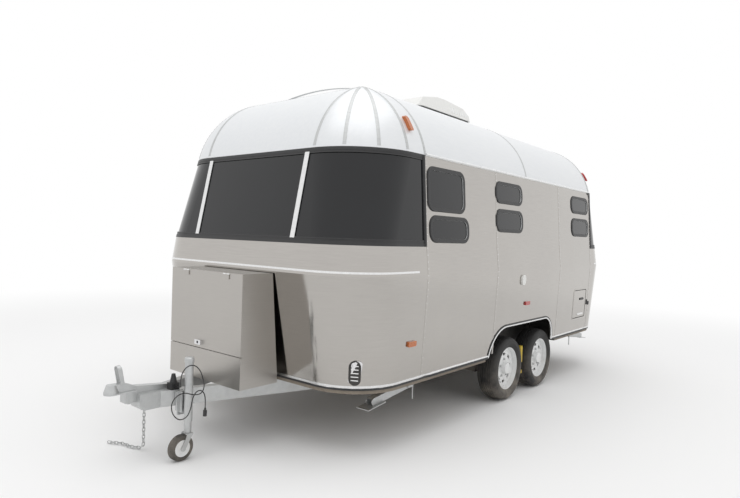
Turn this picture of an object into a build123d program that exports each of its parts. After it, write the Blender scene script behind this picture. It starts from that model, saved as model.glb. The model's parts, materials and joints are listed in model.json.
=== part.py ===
from build123d import *
import os
from math import asin, atan2, cos, degrees, pi, radians, sin, sqrt, tan

# Twin-axle travel caravan, modelled at full size in millimetres.
# Origin on the ground under the middle of its box, front (the drawbar) at -Y,
# the caravan's left side at +X, up at +Z.

os.makedirs("parts", exist_ok=True)

# Wheels and ground
tyre_radius = 298.0
tyre_bore = 196.0
wheel_inset = 137.0
axle_front_y = 402.0
axle_spacing = 718.0
# Half section of a tyre, bead to tread: distance from its middle and radius
tyre_outline = [(79.0, tyre_bore), (94.0, 221.0), (97.0, 250.0), (88.0, 277.0), (61.0, 294.0)]
rim_flange_radius = 214.0
rim_width = 158.0
rim_wall = 6.0
disc_offset = 38.0
disc_thickness = 8.0
slot_count = 8
slot_ring_radius = 128.0
slot_length = 52.0
slot_width = 26.0
hub_cap_radius = 62.0
hub_cap_depth = 40.0
hub_bore_radius = 30.0
running_gap = 1.0
fit_gap = 0.4

# Body shell: one row for each level, from the sill up to the roof seam
wall = 30.0
sill_z = 477.0
waist_z = 1230.0
belt_z = 1434.0
seam_z = 2100.0
body_half_width = 1150.0
belt_front_y = -1899.0
belt_rear_y = 2895.0
sill_tuck_side = 14.0
sill_tuck_end = 85.0
waist_swell_side = 22.0
waist_swell_end = 26.0
waist_corner = 420.0
seam_tuck_side = 46.0
seam_tuck_front = 135.0
seam_tuck_rear = 75.0
belt_corner = 410.0
seam_corner = 490.0
front_split_y = -1120.0
rear_split_y = 2370.0
panel_gap = 2.0

# Roof
roof_top_z = 2710.0
crown_radius = 2300.0
fall_lid = 3.0
fall_slope = 4.0

# End windows
window_foot = 46.0
window_head = 40.0
window_post = 34.0
mullion_x = 560.0
mullion_width = 36.0
glass_thickness = 6.0
glass_depth = 6.0

# Side windows, one row each: name, middle y, middle z, width, height, corner radius, sides
window_columns = ("y", "z", "width", "height", "corner", "sides")
side_windows = [
    (-830.0, 1862.0, 500.0, 296.0, 60.0, (1,)),
    (-795.0, 1566.0, 530.0, 166.0, 62.0, (1,)),
    (240.0, 1922.0, 500.0, 158.0, 62.0, (1, -1)),
    (240.0, 1673.0, 500.0, 168.0, 62.0, (1, -1)),
    (2050.0, 1927.0, 500.0, 158.0, 62.0, (1, -1)),
    (2050.0, 1673.0, 500.0, 168.0, 62.0, (1, -1)),
]
window_lip = 22.0
window_lip_thickness = 8.0

# Wheel arches and the boxes behind them
arch_front_y = -97.0
arch_rear_y = 1313.0
arch_top_z = 725.0
arch_front_reach = 331.0
arch_rear_reach = 213.0
arch_skin = 18.0
well_depth = 285.0
well_wall = 4.0
well_headroom = 12.0
well_overlap = 10.0
well_clearance = 22.0

# Entrance door on the right side and service hatch on the left
door_front_y = -960.0
door_width = 620.0
door_bottom_z = 505.0
door_height = 1560.0
door_corner = 70.0
door_gap = 8.0
door_hinge_offset = 15.0
door_window_width = 360.0
door_window_height = 420.0
door_window_z = 1790.0
door_handle_inset = 70.0
door_handle_z = 1150.0
door_handle_length = 46.0
door_handle_height = 150.0
door_handle_depth = 26.0
hatch_front_y = 1900.0
hatch_width = 372.0
hatch_bottom_z = 640.0
hatch_height = 310.0
hatch_corner = 18.0
hatch_gap = 8.0

# Floor and chassis
chassis_top_z = 440.0
rail_height = 105.0
rail_width = 50.0
rail_inset = 420.0
rail_front_y = -640.0
rail_rear_y = 2720.0
floor_inset = 12.0
cross_member_ys = (-1560.0, -100.0, 1700.0, 2650.0)
cross_member_height = 60.0
cross_member_width = 40.0
beam_width = 60.0
beam_nose_x = 46.0
beam_nose_y = -2560.0

# Torsion axles
axle_beam = 80.0
arm_length = 150.0
arm_height = 70.0
arm_thickness = 24.0
arm_inset = 145.0
drum_radius = 122.0
drum_width = 50.0
spindle_radius = 29.0

# Dampers between the wheels
damper_inset = 100.0
damper_top_z = 460.0
damper_sleeve_z = 300.0
damper_bottom_z = 190.0
damper_radius = 20.0
damper_rod_radius = 12.0
damper_foot = 30.0
damper_arm_width = 30.0
damper_arm_height = 40.0

# Front storage box
box_hinge_xs = (-229.0, 246.0)
box_hinge_z = 1190.0
box_hinge_width = 62.0
box_hinge_height = 34.0
box_hinge_depth = 6.0
box_half_width = 419.0
box_front_y = -2191.0
box_top_z = 1216.0
box_bottom_z = 440.0
box_back_top_y = -1932.0
box_back_bottom_y = -1862.0
box_sheet = 4.0
box_door_bottom_z = 662.0
box_door_thickness = 16.0
box_door_gap = 5.0
box_front_flange = 30.0
box_lock_x = -50.0
box_lock_z = 702.0
box_lock_width = 70.0
box_lock_height = 34.0
box_lock_depth = 18.0

# Coupling
coupling_nose_y = -2895.0
coupling_z = 460.0
socket_radius = 25.3
socket_depth = 40.0
coupling_head_radius = 44.0
coupling_crown_radius = 30.0
coupling_top_z = 520.0
coupling_flange = 8.0
coupling_flange_half_width = 44.0
handle_foot_y = -2790.0
handle_top_y = -2812.0
handle_top_z = 632.0
handle_half_width = 26.0
handle_strip_width = 24.0
handle_strip_thickness = 5.0
handle_bend = 22.0
coupling_half_width = 26.0
coupling_tail_y = -2440.0
coupling_tail_z = 462.0
nose_box_front_y = -2700.0
nose_box_rear_y = -2455.0
nose_box_half_width = 75.0
nose_box_chamfer = 30.0
collar_front_y = -2775.0
collar_half_width = 34.0
collar_bottom_z = 392.0
bolt_radius = 11.0
bolt_drop = 14.0

# Jockey wheel
jockey_x = 205.0
jockey_y = -2435.0
jockey_trail = 50.0
jockey_wheel_radius = 84.0
jockey_wheel_width = 50.0
jockey_outer_radius = 27.0
jockey_inner_radius = 23.0
jockey_outer_bottom_z = 247.0
jockey_outer_top_z = 636.0
jockey_bore_stop = 30.0
jockey_inner_lap = 100.0
jockey_cap_radius = 31.0
jockey_cap_height = 34.0
jockey_cap_round = 14.0
jockey_fork_top_z = 174.0
jockey_fork_plate = 6.0
jockey_fork_gap = 6.0
jockey_fork_reach = 20.0
jockey_fork_foot = 17.0
jockey_pin_radius = 9.0
pin_gap = 0.08
jockey_tread_round = 10.0

# Ribbed clamp that holds the jockey wheel to the left beam
clamp_height = 158.0
clamp_top_z = 440.0
clamp_top_width = 118.0
clamp_bottom_width = 84.0
clamp_web = 12.0
clamp_rib_count = 4
clamp_rib = 6.0
clamp_lap = 3.0

# Safety chain: its route from the right beam down to the ground and on to its hook
chain_route = [
    (-122.0, -2560.0, 352.0),
    (-122.0, -2560.0, 14.0),
    (-205.0, -2600.0, 14.0),
    (-300.0, -2612.0, 14.0),
    (-395.0, -2668.0, 14.0),
]
chain_pitch = 24.0
chain_wire = 6.0
chain_link_length = 38.0
chain_link_width = 23.0
chain_bend = 34.0
shackle_width = 30.0
shackle_height = 44.0

# Towing lead: its gland on the left beam, its route, and the plug at its end
lead_radius = 3.5
gland_box = 58.0
gland_box_height = 44.0
gland_y = -2470.0
gland_boot_radius = 24.0
gland_boot_tip = 12.0
gland_boot_height = 58.0
gland_sleeve_radius = 8.0
gland_sleeve_length = 14.0
lead_exit_z = 464.0
lead_points = [
    (161.0, -2473.0, 465.0),
    (203.0, -2492.0, 483.0),
    (229.0, -2513.0, 527.0),
    (240.0, -2510.0, 582.0),
    (254.0, -2482.0, 624.0),
    (277.0, -2442.0, 630.0),
    (296.0, -2412.0, 592.0),
    (309.0, -2397.0, 536.0),
    (318.0, -2393.0, 480.0),
    (318.0, -2419.0, 443.0),
    (307.0, -2470.0, 446.0),
    (291.0, -2521.0, 468.0),
    (277.0, -2571.0, 452.0),
    (272.0, -2603.0, 405.0),
    (286.0, -2602.0, 346.0),
    (313.0, -2570.0, 304.0),
    (340.0, -2531.0, 322.0),
    (348.0, -2511.0, 374.0),
    (345.0, -2500.0, 428.0),
    (348.0, -2482.0, 472.0),
    (355.0, -2451.0, 486.0),
    (364.0, -2425.0, 462.0),
    (369.0, -2418.0, 414.0),
    (370.0, -2420.0, 366.0),
]
plug_radius = 12.0
plug_length = 52.0
plug_neck = 6.5
plug_neck_length = 14.0

# Corner steadies, one row each: name, side, pivot y, direction the leg points in at rest
steady_columns = ("name", "side", "pivot_y", "points")
steady_rows = [
    ("front_left", 1, -1000.0, -1),
    ("front_right", -1, -1000.0, -1),
    ("rear_left", 1, 2330.0, 1),
    ("rear_right", -1, 2330.0, 1),
]
steady_inset = 220.0
steady_pivot_z = 378.0
steady_length = 430.0
steady_droop = 7.0
steady_width = 56.0
steady_depth = 54.0
steady_sheet = 6.0
steady_foot_width = 110.0
steady_foot_length = 196.0
steady_foot_thickness = 6.0
steady_pin_radius = 8.0
steady_ear = 6.0
steady_ear_gap = 5.0
steady_ear_length = 60.0
steady_ear_drop = 24.0
steady_hook_radius = 5.0
steady_hook_bottom_z = 262.0

# Roof air conditioner
cooler_half_width = 325.0
cooler_front_y = -82.0
cooler_rear_y = 902.0
cooler_base_z = 2764.0
cooler_base_inset = 22.0
cooler_base_sink = 10.0
cooler_round = 60.0
cooler_side_lean = 40.0

# Side outline of the cooler's shroud, front to rear: distance behind its front and height
# above its base
cooler_outline = [
    (0.0, 0.0),
    (68.0, 92.0),
    (353.0, 146.0),
    (497.0, 148.0),
    (836.0, 121.0),
    (975.0, 34.0),
    (984.0, 0.0),
]


def save(builder, name):
    builder.part.label = name
    export_step(builder.part, f"parts/{name}.step")


# Levels of the shell, each with its half width, front, rear and corner radius
shell_levels = [
    (
        sill_z,
        body_half_width - sill_tuck_side,
        belt_front_y + sill_tuck_end,
        belt_rear_y - sill_tuck_end,
        belt_corner,
    ),
    (
        waist_z,
        body_half_width + waist_swell_side,
        belt_front_y - waist_swell_end,
        belt_rear_y + waist_swell_end,
        waist_corner,
    ),
    (belt_z, body_half_width, belt_front_y, belt_rear_y, belt_corner),
    (
        seam_z,
        body_half_width - seam_tuck_side,
        belt_front_y + seam_tuck_front,
        belt_rear_y - seam_tuck_rear,
        seam_corner,
    ),
]
seam_half_width = body_half_width - seam_tuck_side
seam_front_y = belt_front_y + seam_tuck_front
seam_rear_y = belt_rear_y - seam_tuck_rear
corner_x = seam_half_width - seam_corner
corner_front_y = seam_front_y + seam_corner
corner_rear_y = seam_rear_y - seam_corner


def walls_solid(inset):
    """Space inside the shell's upright faces, moved in by the inset."""
    with BuildPart() as solid:
        for z, half_width, front_y, rear_y, corner in shell_levels:
            with BuildSketch(Plane.XY.offset(z)):
                with Locations((0, (front_y + rear_y) / 2)):
                    RectangleRounded(
                        2 * (half_width - inset), rear_y - front_y - 2 * inset, corner - inset
                    )
        loft(ruled=True)
    return solid.part


def crown_height(across, inset):
    """Height of the roof's crown at a distance from its middle."""
    radius = crown_radius - inset
    return roof_top_z - inset - radius + sqrt(radius**2 - across**2)


def shoulder_angle(inset):
    return degrees(asin(corner_x / (crown_radius - inset)))


def shoulder_sketch(plane, inset):
    """Quarter section of the roof's shoulder, from its inner edge out to the seam."""
    reach = seam_corner - inset
    rise = crown_height(corner_x, inset) - seam_z
    slope = radians(shoulder_angle(inset))
    with BuildSketch(plane) as sketch:
        with BuildLine():
            TangentArc((0, rise), (reach, 0), tangent=(cos(slope), -sin(slope)))
            Polyline((reach, 0), (0, 0), (0, rise))
        make_face()
    return sketch.sketch


def roof_ends(inset):
    """Quarter-round shoulders over both ends, with a turned piece at each corner."""
    pieces = []
    for end, y in ((-1, corner_front_y), (1, corner_rear_y)):
        start = Plane(
            origin=(-end * corner_x, y, seam_z), x_dir=(0, end, 0), z_dir=(end, 0, 0)
        )
        strip = shoulder_sketch(start, inset)
        pieces.append(extrude(strip, amount=2 * corner_x))
        for side in (-1, 1):
            start = Plane(
                origin=(side * corner_x, y, seam_z), x_dir=(side, 0, 0), z_dir=(0, -side, 0)
            )
            axis = Axis((side * corner_x, y, seam_z), (0, 0, 1))
            quarter = shoulder_sketch(start, inset)
            pieces.append(revolve(quarter, axis=axis, revolution_arc=90 * side * end))
    return pieces


def roof_solid(inset):
    """Solid under the roof skin, with its domed ends, moved in by the inset."""
    half_width = seam_half_width - inset
    edge_z = crown_height(corner_x, inset)
    slope = radians(shoulder_angle(inset))
    top_z = roof_top_z - inset
    ends = roof_ends(inset)
    with BuildPart() as roof:
        with BuildSketch(Plane.XZ.offset(-corner_rear_y)):
            with BuildLine():
                ThreePointArc((-corner_x, edge_z), (0, top_z), (corner_x, edge_z))
                TangentArc((corner_x, edge_z), (half_width, seam_z), tangent=(cos(slope), -sin(slope)))
                Line((half_width, seam_z), (-half_width, seam_z))
                TangentArc(
                    (-corner_x, edge_z), (-half_width, seam_z), tangent=(-cos(slope), -sin(slope))
                )
            make_face()
        extrude(amount=corner_rear_y - corner_front_y)
        # The crown also falls towards both ends, on from where its own top would be.
        lid_z = top_z + fall_lid
        flat = radians(fall_slope)
        fall_radius = (lid_z - edge_z) / (cos(flat) - cos(slope))
        fall_run = fall_radius * (sin(slope) - sin(flat))
        with BuildSketch(Plane.YZ):
            with BuildLine():
                TangentArc(
                    (corner_front_y, edge_z),
                    (corner_front_y + fall_run, lid_z),
                    tangent=(cos(slope), sin(slope)),
                )
                Line((corner_front_y + fall_run, lid_z), (corner_rear_y - fall_run, lid_z))
                TangentArc(
                    (corner_rear_y, edge_z),
                    (corner_rear_y - fall_run, lid_z),
                    tangent=(-cos(slope), sin(slope)),
                )
                Polyline(
                    (corner_rear_y, edge_z),
                    (corner_rear_y, seam_z),
                    (corner_front_y, seam_z),
                    (corner_front_y, edge_z),
                )
            make_face()
        extrude(amount=2 * half_width, both=True, mode=Mode.INTERSECT)
        for piece in ends:
            add(piece)
    return roof.part


outer_walls = walls_solid(0)
inner_walls = walls_solid(wall)
outer_roof = roof_solid(0)
inner_roof = roof_solid(wall)


def slab(low, high):
    """Plain block between two opposite corners."""
    size = [b - a for a, b in zip(low, high)]
    middle = [(a + b) / 2 for a, b in zip(low, high)]
    return Pos(*middle) * Box(*size, mode=Mode.PRIVATE)


far = 4000.0


def sorted_pair(one, other):
    return (min(one, other), max(one, other))


# Space for the wheels, between the floor's edge and the skin round the arches
well_inner_x = body_half_width - wall - well_depth
well_outer_x = body_half_width - sill_tuck_side - arch_skin
well_front_y = arch_front_y - well_overlap
well_rear_y = max(arch_rear_y + well_overlap, axle_front_y + axle_spacing + tyre_radius + well_clearance)
well_top_z = arch_top_z + well_headroom


# Planes square to the leaning upper side walls, one for each side
lean = degrees(atan2(seam_tuck_side, seam_z - belt_z))


def wall_x(z):
    """Outer face of a side wall at a height above the belt."""
    return body_half_width - (z - belt_z) * tan(radians(lean))


def window_plane(side, y, z):
    outward = (side * cos(radians(lean)), 0, sin(radians(lean)))
    return Plane(origin=(side * wall_x(z), y, z), x_dir=(0, side, 0), z_dir=outward)


def window_block(side, row, grow, inner, outer):
    """Rounded block through the wall at a side window, between two depths."""
    middle_y, middle_z, width, height, corner, _ = row
    plane = window_plane(side, middle_y, middle_z).offset(inner)
    with BuildPart() as block:
        with BuildSketch(plane):
            RectangleRounded(width + 2 * grow, height + 2 * grow, corner + grow)
        extrude(amount=outer - inner)
    return block.part


def arch_block(grow):
    """Block through both side walls in the outline of the wheel arches."""
    low = sill_z - 60
    top = arch_top_z + grow
    front = arch_front_y - grow
    rear = arch_rear_y + grow
    with BuildPart() as block:
        with BuildSketch(Plane.YZ.offset(-body_half_width - 50)):
            with BuildLine():
                TangentArc((front + arch_front_reach, top), (front, sill_z), tangent=(-1, 0))
                Line((front + arch_front_reach, top), (rear - arch_rear_reach, top))
                TangentArc((rear - arch_rear_reach, top), (rear, sill_z), tangent=(1, 0))
                Polyline((front, sill_z), (front, low), (rear, low), (rear, sill_z))
            make_face()
        extrude(amount=2 * body_half_width + 100)
    return block.part


# Door and hatch openings, cut square through their wall from the side
doorway_start_x = body_half_width - sill_tuck_side - 3 * wall


def side_block(side, front_y, width, bottom_z, height, corner, grow, start_x=doorway_start_x):
    middle_y = front_y + width / 2
    middle_z = bottom_z + height / 2
    plane = Plane(
        origin=(side * start_x, middle_y, middle_z), x_dir=(0, side, 0), z_dir=(side, 0, 0)
    )
    with BuildPart() as block:
        with BuildSketch(plane):
            RectangleRounded(width + 2 * grow, height + 2 * grow, corner + grow)
        extrude(amount=body_half_width + 3 * wall - start_x)
    return block.part


door_opening = side_block(
    -1, door_front_y, door_width, door_bottom_z, door_height, door_corner, door_gap
)
door_block = side_block(-1, door_front_y, door_width, door_bottom_z, door_height, door_corner, 0)
hatch_opening = side_block(
    1, hatch_front_y, hatch_width, hatch_bottom_z, hatch_height, hatch_corner, hatch_gap
)
hatch_block = side_block(1, hatch_front_y, hatch_width, hatch_bottom_z, hatch_height, hatch_corner, 0)
door_window = (
    door_front_y + door_width / 2,
    door_window_z,
    door_window_width,
    door_window_height,
    door_corner,
    (-1,),
)

shell = outer_walls - inner_walls

# Lower end panels, below the end windows
for name, low_y, high_y in (
    ("front_panel", -far, front_split_y - panel_gap),
    ("rear_panel", rear_split_y + panel_gap, far),
):
    section = slab((-far, low_y, 0), (far, high_y, belt_z))
    with BuildPart() as panel:
        add(shell)
        add(section, mode=Mode.INTERSECT)
    save(panel, name)

# Side walls, with their windows, arches and openings cut
arches = arch_block(0)
for name, side, doorway in (
    ("side_wall_left", 1, hatch_opening),
    ("side_wall_right", -1, door_opening),
):
    inner_x, outer_x = sorted((side * well_inner_x / 2, side * far))
    section = slab((inner_x, front_split_y, 0), (outer_x, rear_split_y, far))
    cuts = [window_block(side, row, 0, -2 * wall, wall) for row in side_windows if side in row[5]]
    low_x, high_x = sorted_pair(0, side * well_outer_x)
    cuts.append(slab((low_x, well_front_y, 0), (high_x, well_rear_y, well_top_z)))
    with BuildPart() as side_wall:
        add(shell)
        add(section, mode=Mode.INTERSECT)
        for cut in (arches, doorway, *cuts):
            add(cut, mode=Mode.SUBTRACT)
    save(side_wall, name)

# Roof: two riveted end domes and the middle between them
roof_shell = outer_roof - inner_roof
for name, low_y, high_y in (
    ("roof_dome_front", -far, front_split_y),
    ("roof_middle", front_split_y, rear_split_y),
    ("roof_dome_rear", rear_split_y, far),
):
    section = slab((-far, low_y, 0), (far, high_y, far))
    with BuildPart() as roof_section:
        add(roof_shell)
        add(section, mode=Mode.INTERSECT)
    save(roof_section, name)

# End windows: a frame that wraps round both corners, with three panes in it
glass_shell = walls_solid(glass_depth) - walls_solid(glass_depth + glass_thickness)
for end_name, end, split_y, face_y in (
    ("front", -1, front_split_y, seam_front_y),
    ("rear", 1, rear_split_y, seam_rear_y),
):
    frame_low, frame_high = sorted((split_y + end * panel_gap, end * far))
    pane_low, pane_high = sorted((split_y + end * window_post, end * far))
    band = slab((-far, frame_low, belt_z), (far, frame_high, seam_z))
    opening = slab(
        (-far, pane_low, belt_z + window_foot), (far, pane_high, seam_z - window_head)
    )
    post_low, post_high = sorted((face_y - end * belt_corner, end * far))
    for middle in (-mullion_x, mullion_x):
        opening -= slab(
            (middle - mullion_width / 2, post_low, 0), (middle + mullion_width / 2, post_high, far)
        )
    with BuildPart() as window_frame:
        add(shell)
        add(band, mode=Mode.INTERSECT)
        add(opening, mode=Mode.SUBTRACT)
    save(window_frame, f"{end_name}_window_frame")
    with BuildPart() as panes:
        add(glass_shell)
        add(opening, mode=Mode.INTERSECT)
    save(panes, f"{end_name}_window_panes")

# Side windows: a lipped frame on the wall and a pane in the opening behind it
lips = [
    window_block(side, row, window_lip / 2, 0, window_lip_thickness)
    - window_block(side, row, -window_lip / 2, -wall, wall)
    for row in side_windows
    for side in row[5]
]
with BuildPart() as side_frames:
    for lip in lips:
        add(lip)
save(side_frames, "side_window_frames")
sheets = [
    window_block(side, row, -fit_gap, -glass_thickness, 0) for row in side_windows for side in row[5]
]
with BuildPart() as side_panes:
    for sheet in sheets:
        add(sheet)
save(side_panes, "side_window_panes")

# Floor, cut out over the wheels
_, sill_half_width, sill_front_y, sill_rear_y, sill_corner = shell_levels[0]
wheel_holes = [
    slab(*zip(sorted_pair(side * well_inner_x, side * far), (well_front_y, well_rear_y), (0, far)))
    for side in (-1, 1)
]
with BuildPart() as floor:
    with BuildSketch(Plane.XY.offset(chassis_top_z)):
        with Locations((0, (sill_front_y + sill_rear_y) / 2)):
            RectangleRounded(
                2 * (sill_half_width - floor_inset),
                sill_rear_y - sill_front_y - 2 * floor_inset,
                sill_corner - floor_inset,
            )
    extrude(amount=sill_z - chassis_top_z)
    for hole in wheel_holes:
        add(hole, mode=Mode.SUBTRACT)
save(floor, "floor")

# Wheel boxes, open below and at the arch
with BuildPart() as wheel_boxes:
    for side in (-1, 1):
        outside = side * (well_outer_x - fit_gap)
        middle_y = (well_front_y + well_rear_y) / 2
        with Locations(((side * well_inner_x + outside) / 2, middle_y, chassis_top_z)):
            Box(
                abs(outside) - well_inner_x,
                well_rear_y - well_front_y,
                well_top_z - chassis_top_z,
                align=(Align.CENTER, Align.CENTER, Align.MIN),
            )
        with Locations((side * (well_inner_x + well_wall), middle_y, 0)):
            Box(
                well_depth,
                well_rear_y - well_front_y - 2 * well_wall,
                well_top_z - well_wall,
                align=(Align.MIN if side > 0 else Align.MAX, Align.CENTER, Align.MIN),
                mode=Mode.SUBTRACT,
            )
save(wheel_boxes, "wheel_boxes")

# Chassis rails and cross members, with the arms that carry the dampers
chassis_bottom_z = chassis_top_z - rail_height
rail_x = body_half_width - rail_inset
damper_x = body_half_width - damper_inset
damper_y = axle_front_y + axle_spacing / 2
with BuildPart() as chassis:
    for side in (-1, 1):
        with Locations((side * rail_x, rail_front_y, chassis_bottom_z)):
            Box(
                rail_width,
                rail_rear_y - rail_front_y,
                rail_height,
                align=(Align.CENTER, Align.MIN, Align.MIN),
            )
    for y in cross_member_ys[1:]:
        with Locations((0, y, chassis_top_z)):
            Box(
                2 * rail_x,
                cross_member_width,
                cross_member_height,
                align=(Align.CENTER, Align.CENTER, Align.MAX),
            )
    for side in (-1, 1):
        with Locations((side * rail_x, damper_y, chassis_top_z)):
            Box(
                damper_x - rail_x,
                damper_arm_width,
                damper_arm_height,
                align=(Align.MIN if side > 0 else Align.MAX, Align.CENTER, Align.MAX),
            )
save(chassis, "chassis")

# Drawbar: two beams that spread from the nose to the rails, and a front cross member
beam_slant = atan2(rail_x - beam_nose_x, rail_front_y - beam_nose_y)
with BuildPart() as drawbar:
    for side in (-1, 1):
        half = side * beam_width / 2 / cos(beam_slant)
        with BuildSketch(Plane.XY.offset(chassis_bottom_z)):
            with BuildLine():
                Polyline(
                    (side * beam_nose_x - half, beam_nose_y),
                    (side * beam_nose_x + half, beam_nose_y),
                    (side * rail_x + half, rail_front_y),
                    (side * rail_x - half, rail_front_y),
                    close=True,
                )
            make_face()
        extrude(amount=rail_height)
    with Locations((0, cross_member_ys[0], chassis_top_z)):
        Box(
            2 * rail_x,
            cross_member_width,
            cross_member_height,
            align=(Align.CENTER, Align.CENTER, Align.MAX),
        )
    with BuildSketch(Plane.YZ):
        with BuildLine():
            Polyline(
                (nose_box_front_y, chassis_top_z),
                (nose_box_front_y, chassis_bottom_z + nose_box_chamfer),
                (nose_box_front_y + nose_box_chamfer, chassis_bottom_z),
                (nose_box_rear_y, chassis_bottom_z),
                (nose_box_rear_y, chassis_top_z),
                close=True,
            )
        make_face()
    extrude(amount=nose_box_half_width, both=True)
    with Locations((0, nose_box_front_y + 2 * nose_box_chamfer, chassis_bottom_z)):
        Cylinder(bolt_radius, bolt_drop, align=(Align.CENTER, Align.CENTER, Align.MAX))
save(drawbar, "drawbar")

# Axles: a square beam under the rails, trailing arms, hub plates and spindles
hub_z = tyre_radius
wheel_x = body_half_width - wheel_inset
arm_x = wheel_x - arm_inset
disc_inner_x = wheel_x + disc_offset - disc_thickness
for axle_name, hub_y in (("front", axle_front_y), ("rear", axle_front_y + axle_spacing)):
    with BuildPart() as axle:
        with Locations((0, hub_y - arm_length, chassis_bottom_z)):
            Box(
                2 * (arm_x - arm_thickness / 2),
                axle_beam,
                axle_beam,
                align=(Align.CENTER, Align.CENTER, Align.MAX),
            )
        for side in (-1, 1):
            with BuildSketch(Plane.YZ.offset(side * arm_x)):
                with Locations((hub_y - arm_length / 2, hub_z)):
                    SlotCenterToCenter(arm_length, arm_height)
            extrude(amount=arm_thickness / 2, both=True)
            face_x = arm_x + arm_thickness / 2
            with Locations((side * (face_x + drum_width / 2), hub_y, hub_z)):
                Cylinder(drum_radius, drum_width, rotation=(0, 90, 0))
            spindle_end_x = disc_inner_x + disc_thickness + hub_cap_depth / 2
            with Locations((side * (face_x + spindle_end_x) / 2, hub_y, hub_z)):
                Cylinder(spindle_radius, spindle_end_x - face_x, rotation=(0, 90, 0))
    save(axle, f"axle_{axle_name}")

# Wheels: tyre and slotted steel wheel with its hub cap
wheel_rows = [
    ("front_left", 1, axle_front_y),
    ("front_right", -1, axle_front_y),
    ("rear_left", 1, axle_front_y + axle_spacing),
    ("rear_right", -1, axle_front_y + axle_spacing),
]
for name, side, hub_y in wheel_rows:
    section = Plane(origin=(side * wheel_x, hub_y, hub_z), x_dir=(side, 0, 0), z_dir=(0, -side, 0))
    spin = Axis((0, hub_y, hub_z), (1, 0, 0))
    with BuildPart() as tyre:
        with BuildSketch(section):
            with BuildLine():
                Polyline(
                    *[(-across, radius) for across, radius in tyre_outline],
                    (0, tyre_radius),
                    *[(across, radius) for across, radius in reversed(tyre_outline)],
                    close=True,
                )
            make_face()
        revolve(axis=spin)
    save(tyre, f"tyre_{name}")
    barrel = tyre_bore - fit_gap
    with BuildPart() as rim:
        with BuildSketch(section):
            with BuildLine():
                Polyline(
                    (-rim_width / 2, barrel),
                    (rim_width / 2, barrel),
                    (rim_width / 2, barrel - rim_wall),
                    (disc_offset, barrel - rim_wall - 8),
                    (disc_offset, hub_bore_radius + hub_cap_radius / 2),
                    (disc_offset - disc_thickness, hub_bore_radius + hub_cap_radius / 2),
                    (disc_offset - disc_thickness, barrel - rim_wall - 14),
                    (-rim_width / 2, barrel - rim_wall),
                    close=True,
                )
            make_face()
        revolve(axis=spin)
        with BuildSketch(
            Plane(origin=(side * (wheel_x + disc_offset), hub_y, hub_z), x_dir=(0, 1, 0), z_dir=(side, 0, 0))
        ):
            with PolarLocations(slot_ring_radius, slot_count):
                SlotOverall(slot_length, slot_width, rotation=90)
        extrude(amount=-2 * disc_thickness, mode=Mode.SUBTRACT)
        with BuildSketch(section):
            with BuildLine():
                Polyline(
                    (disc_offset - disc_thickness, spindle_radius + running_gap),
                    (disc_offset - disc_thickness, hub_bore_radius + hub_cap_radius / 2),
                    (disc_offset, hub_bore_radius + hub_cap_radius / 2),
                    (disc_offset, hub_cap_radius - 6),
                    (disc_offset + hub_cap_depth, hub_cap_radius - 12),
                    (disc_offset + hub_cap_depth, 0),
                    (disc_offset + hub_cap_depth - 6, 0),
                    (disc_offset + hub_cap_depth - 6, spindle_radius + running_gap),
                    close=True,
                )
            make_face()
        revolve(axis=spin)
    save(rim, f"wheel_{name}")

# Entrance door with its window, and the service hatch
door_cut = window_block(-1, door_window, 0, -2 * wall, wall)
with BuildPart() as entrance_door:
    add(shell)
    add(door_block, mode=Mode.INTERSECT)
    add(door_cut, mode=Mode.SUBTRACT)
save(entrance_door, "entrance_door")
door_sheet = window_block(-1, door_window, -fit_gap, -glass_thickness, 0)
with BuildPart() as door_pane:
    add(door_sheet)
save(door_pane, "door_window_pane")
with BuildPart() as hatch:
    add(shell)
    add(hatch_block, mode=Mode.INTERSECT)
save(hatch, "service_hatch")

# Front storage box: a sheet body whose back follows the caravan, and its front door
with BuildPart() as box_body:
    back_line = [
        (box_front_y + box_door_thickness, box_bottom_z),
        (box_back_bottom_y, box_bottom_z),
        (box_back_top_y, box_top_z),
        (box_front_y + box_door_thickness, box_top_z),
    ]
    with BuildSketch(Plane.YZ):
        with BuildLine():
            Polyline(*back_line, close=True)
        make_face()
    extrude(amount=box_half_width, both=True)
    with BuildSketch(Plane.YZ) as hollow_side:
        with BuildLine():
            Polyline(*back_line, close=True)
        make_face()
        offset(amount=-box_sheet)
    extrude(amount=box_half_width - box_sheet, both=True, mode=Mode.SUBTRACT)
    with Locations((0, box_front_y, box_door_bottom_z)):
        Box(
            2 * (box_half_width - box_front_flange),
            4 * box_door_thickness,
            box_top_z - box_front_flange - box_door_bottom_z,
            align=(Align.CENTER, Align.CENTER, Align.MIN),
            mode=Mode.SUBTRACT,
        )
    with Locations((0, box_front_y, box_bottom_z)):
        Box(
            2 * box_half_width,
            box_door_thickness,
            box_door_bottom_z - box_door_gap - box_bottom_z,
            align=(Align.CENTER, Align.MIN, Align.MIN),
        )
save(box_body, "storage_box")
with BuildPart() as box_door:
    with Locations((0, box_front_y, box_door_bottom_z)):
        Box(
            2 * box_half_width,
            box_door_thickness - fit_gap,
            box_top_z - box_door_bottom_z,
            align=(Align.CENTER, Align.MIN, Align.MIN),
        )
    for hinge_x in box_hinge_xs:
        with Locations((hinge_x, box_front_y, box_hinge_z)):
            Box(
                box_hinge_width,
                2 * box_hinge_depth,
                box_hinge_height,
                align=(Align.CENTER, Align.CENTER, Align.CENTER),
            )
save(box_door, "storage_box_door")

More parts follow.
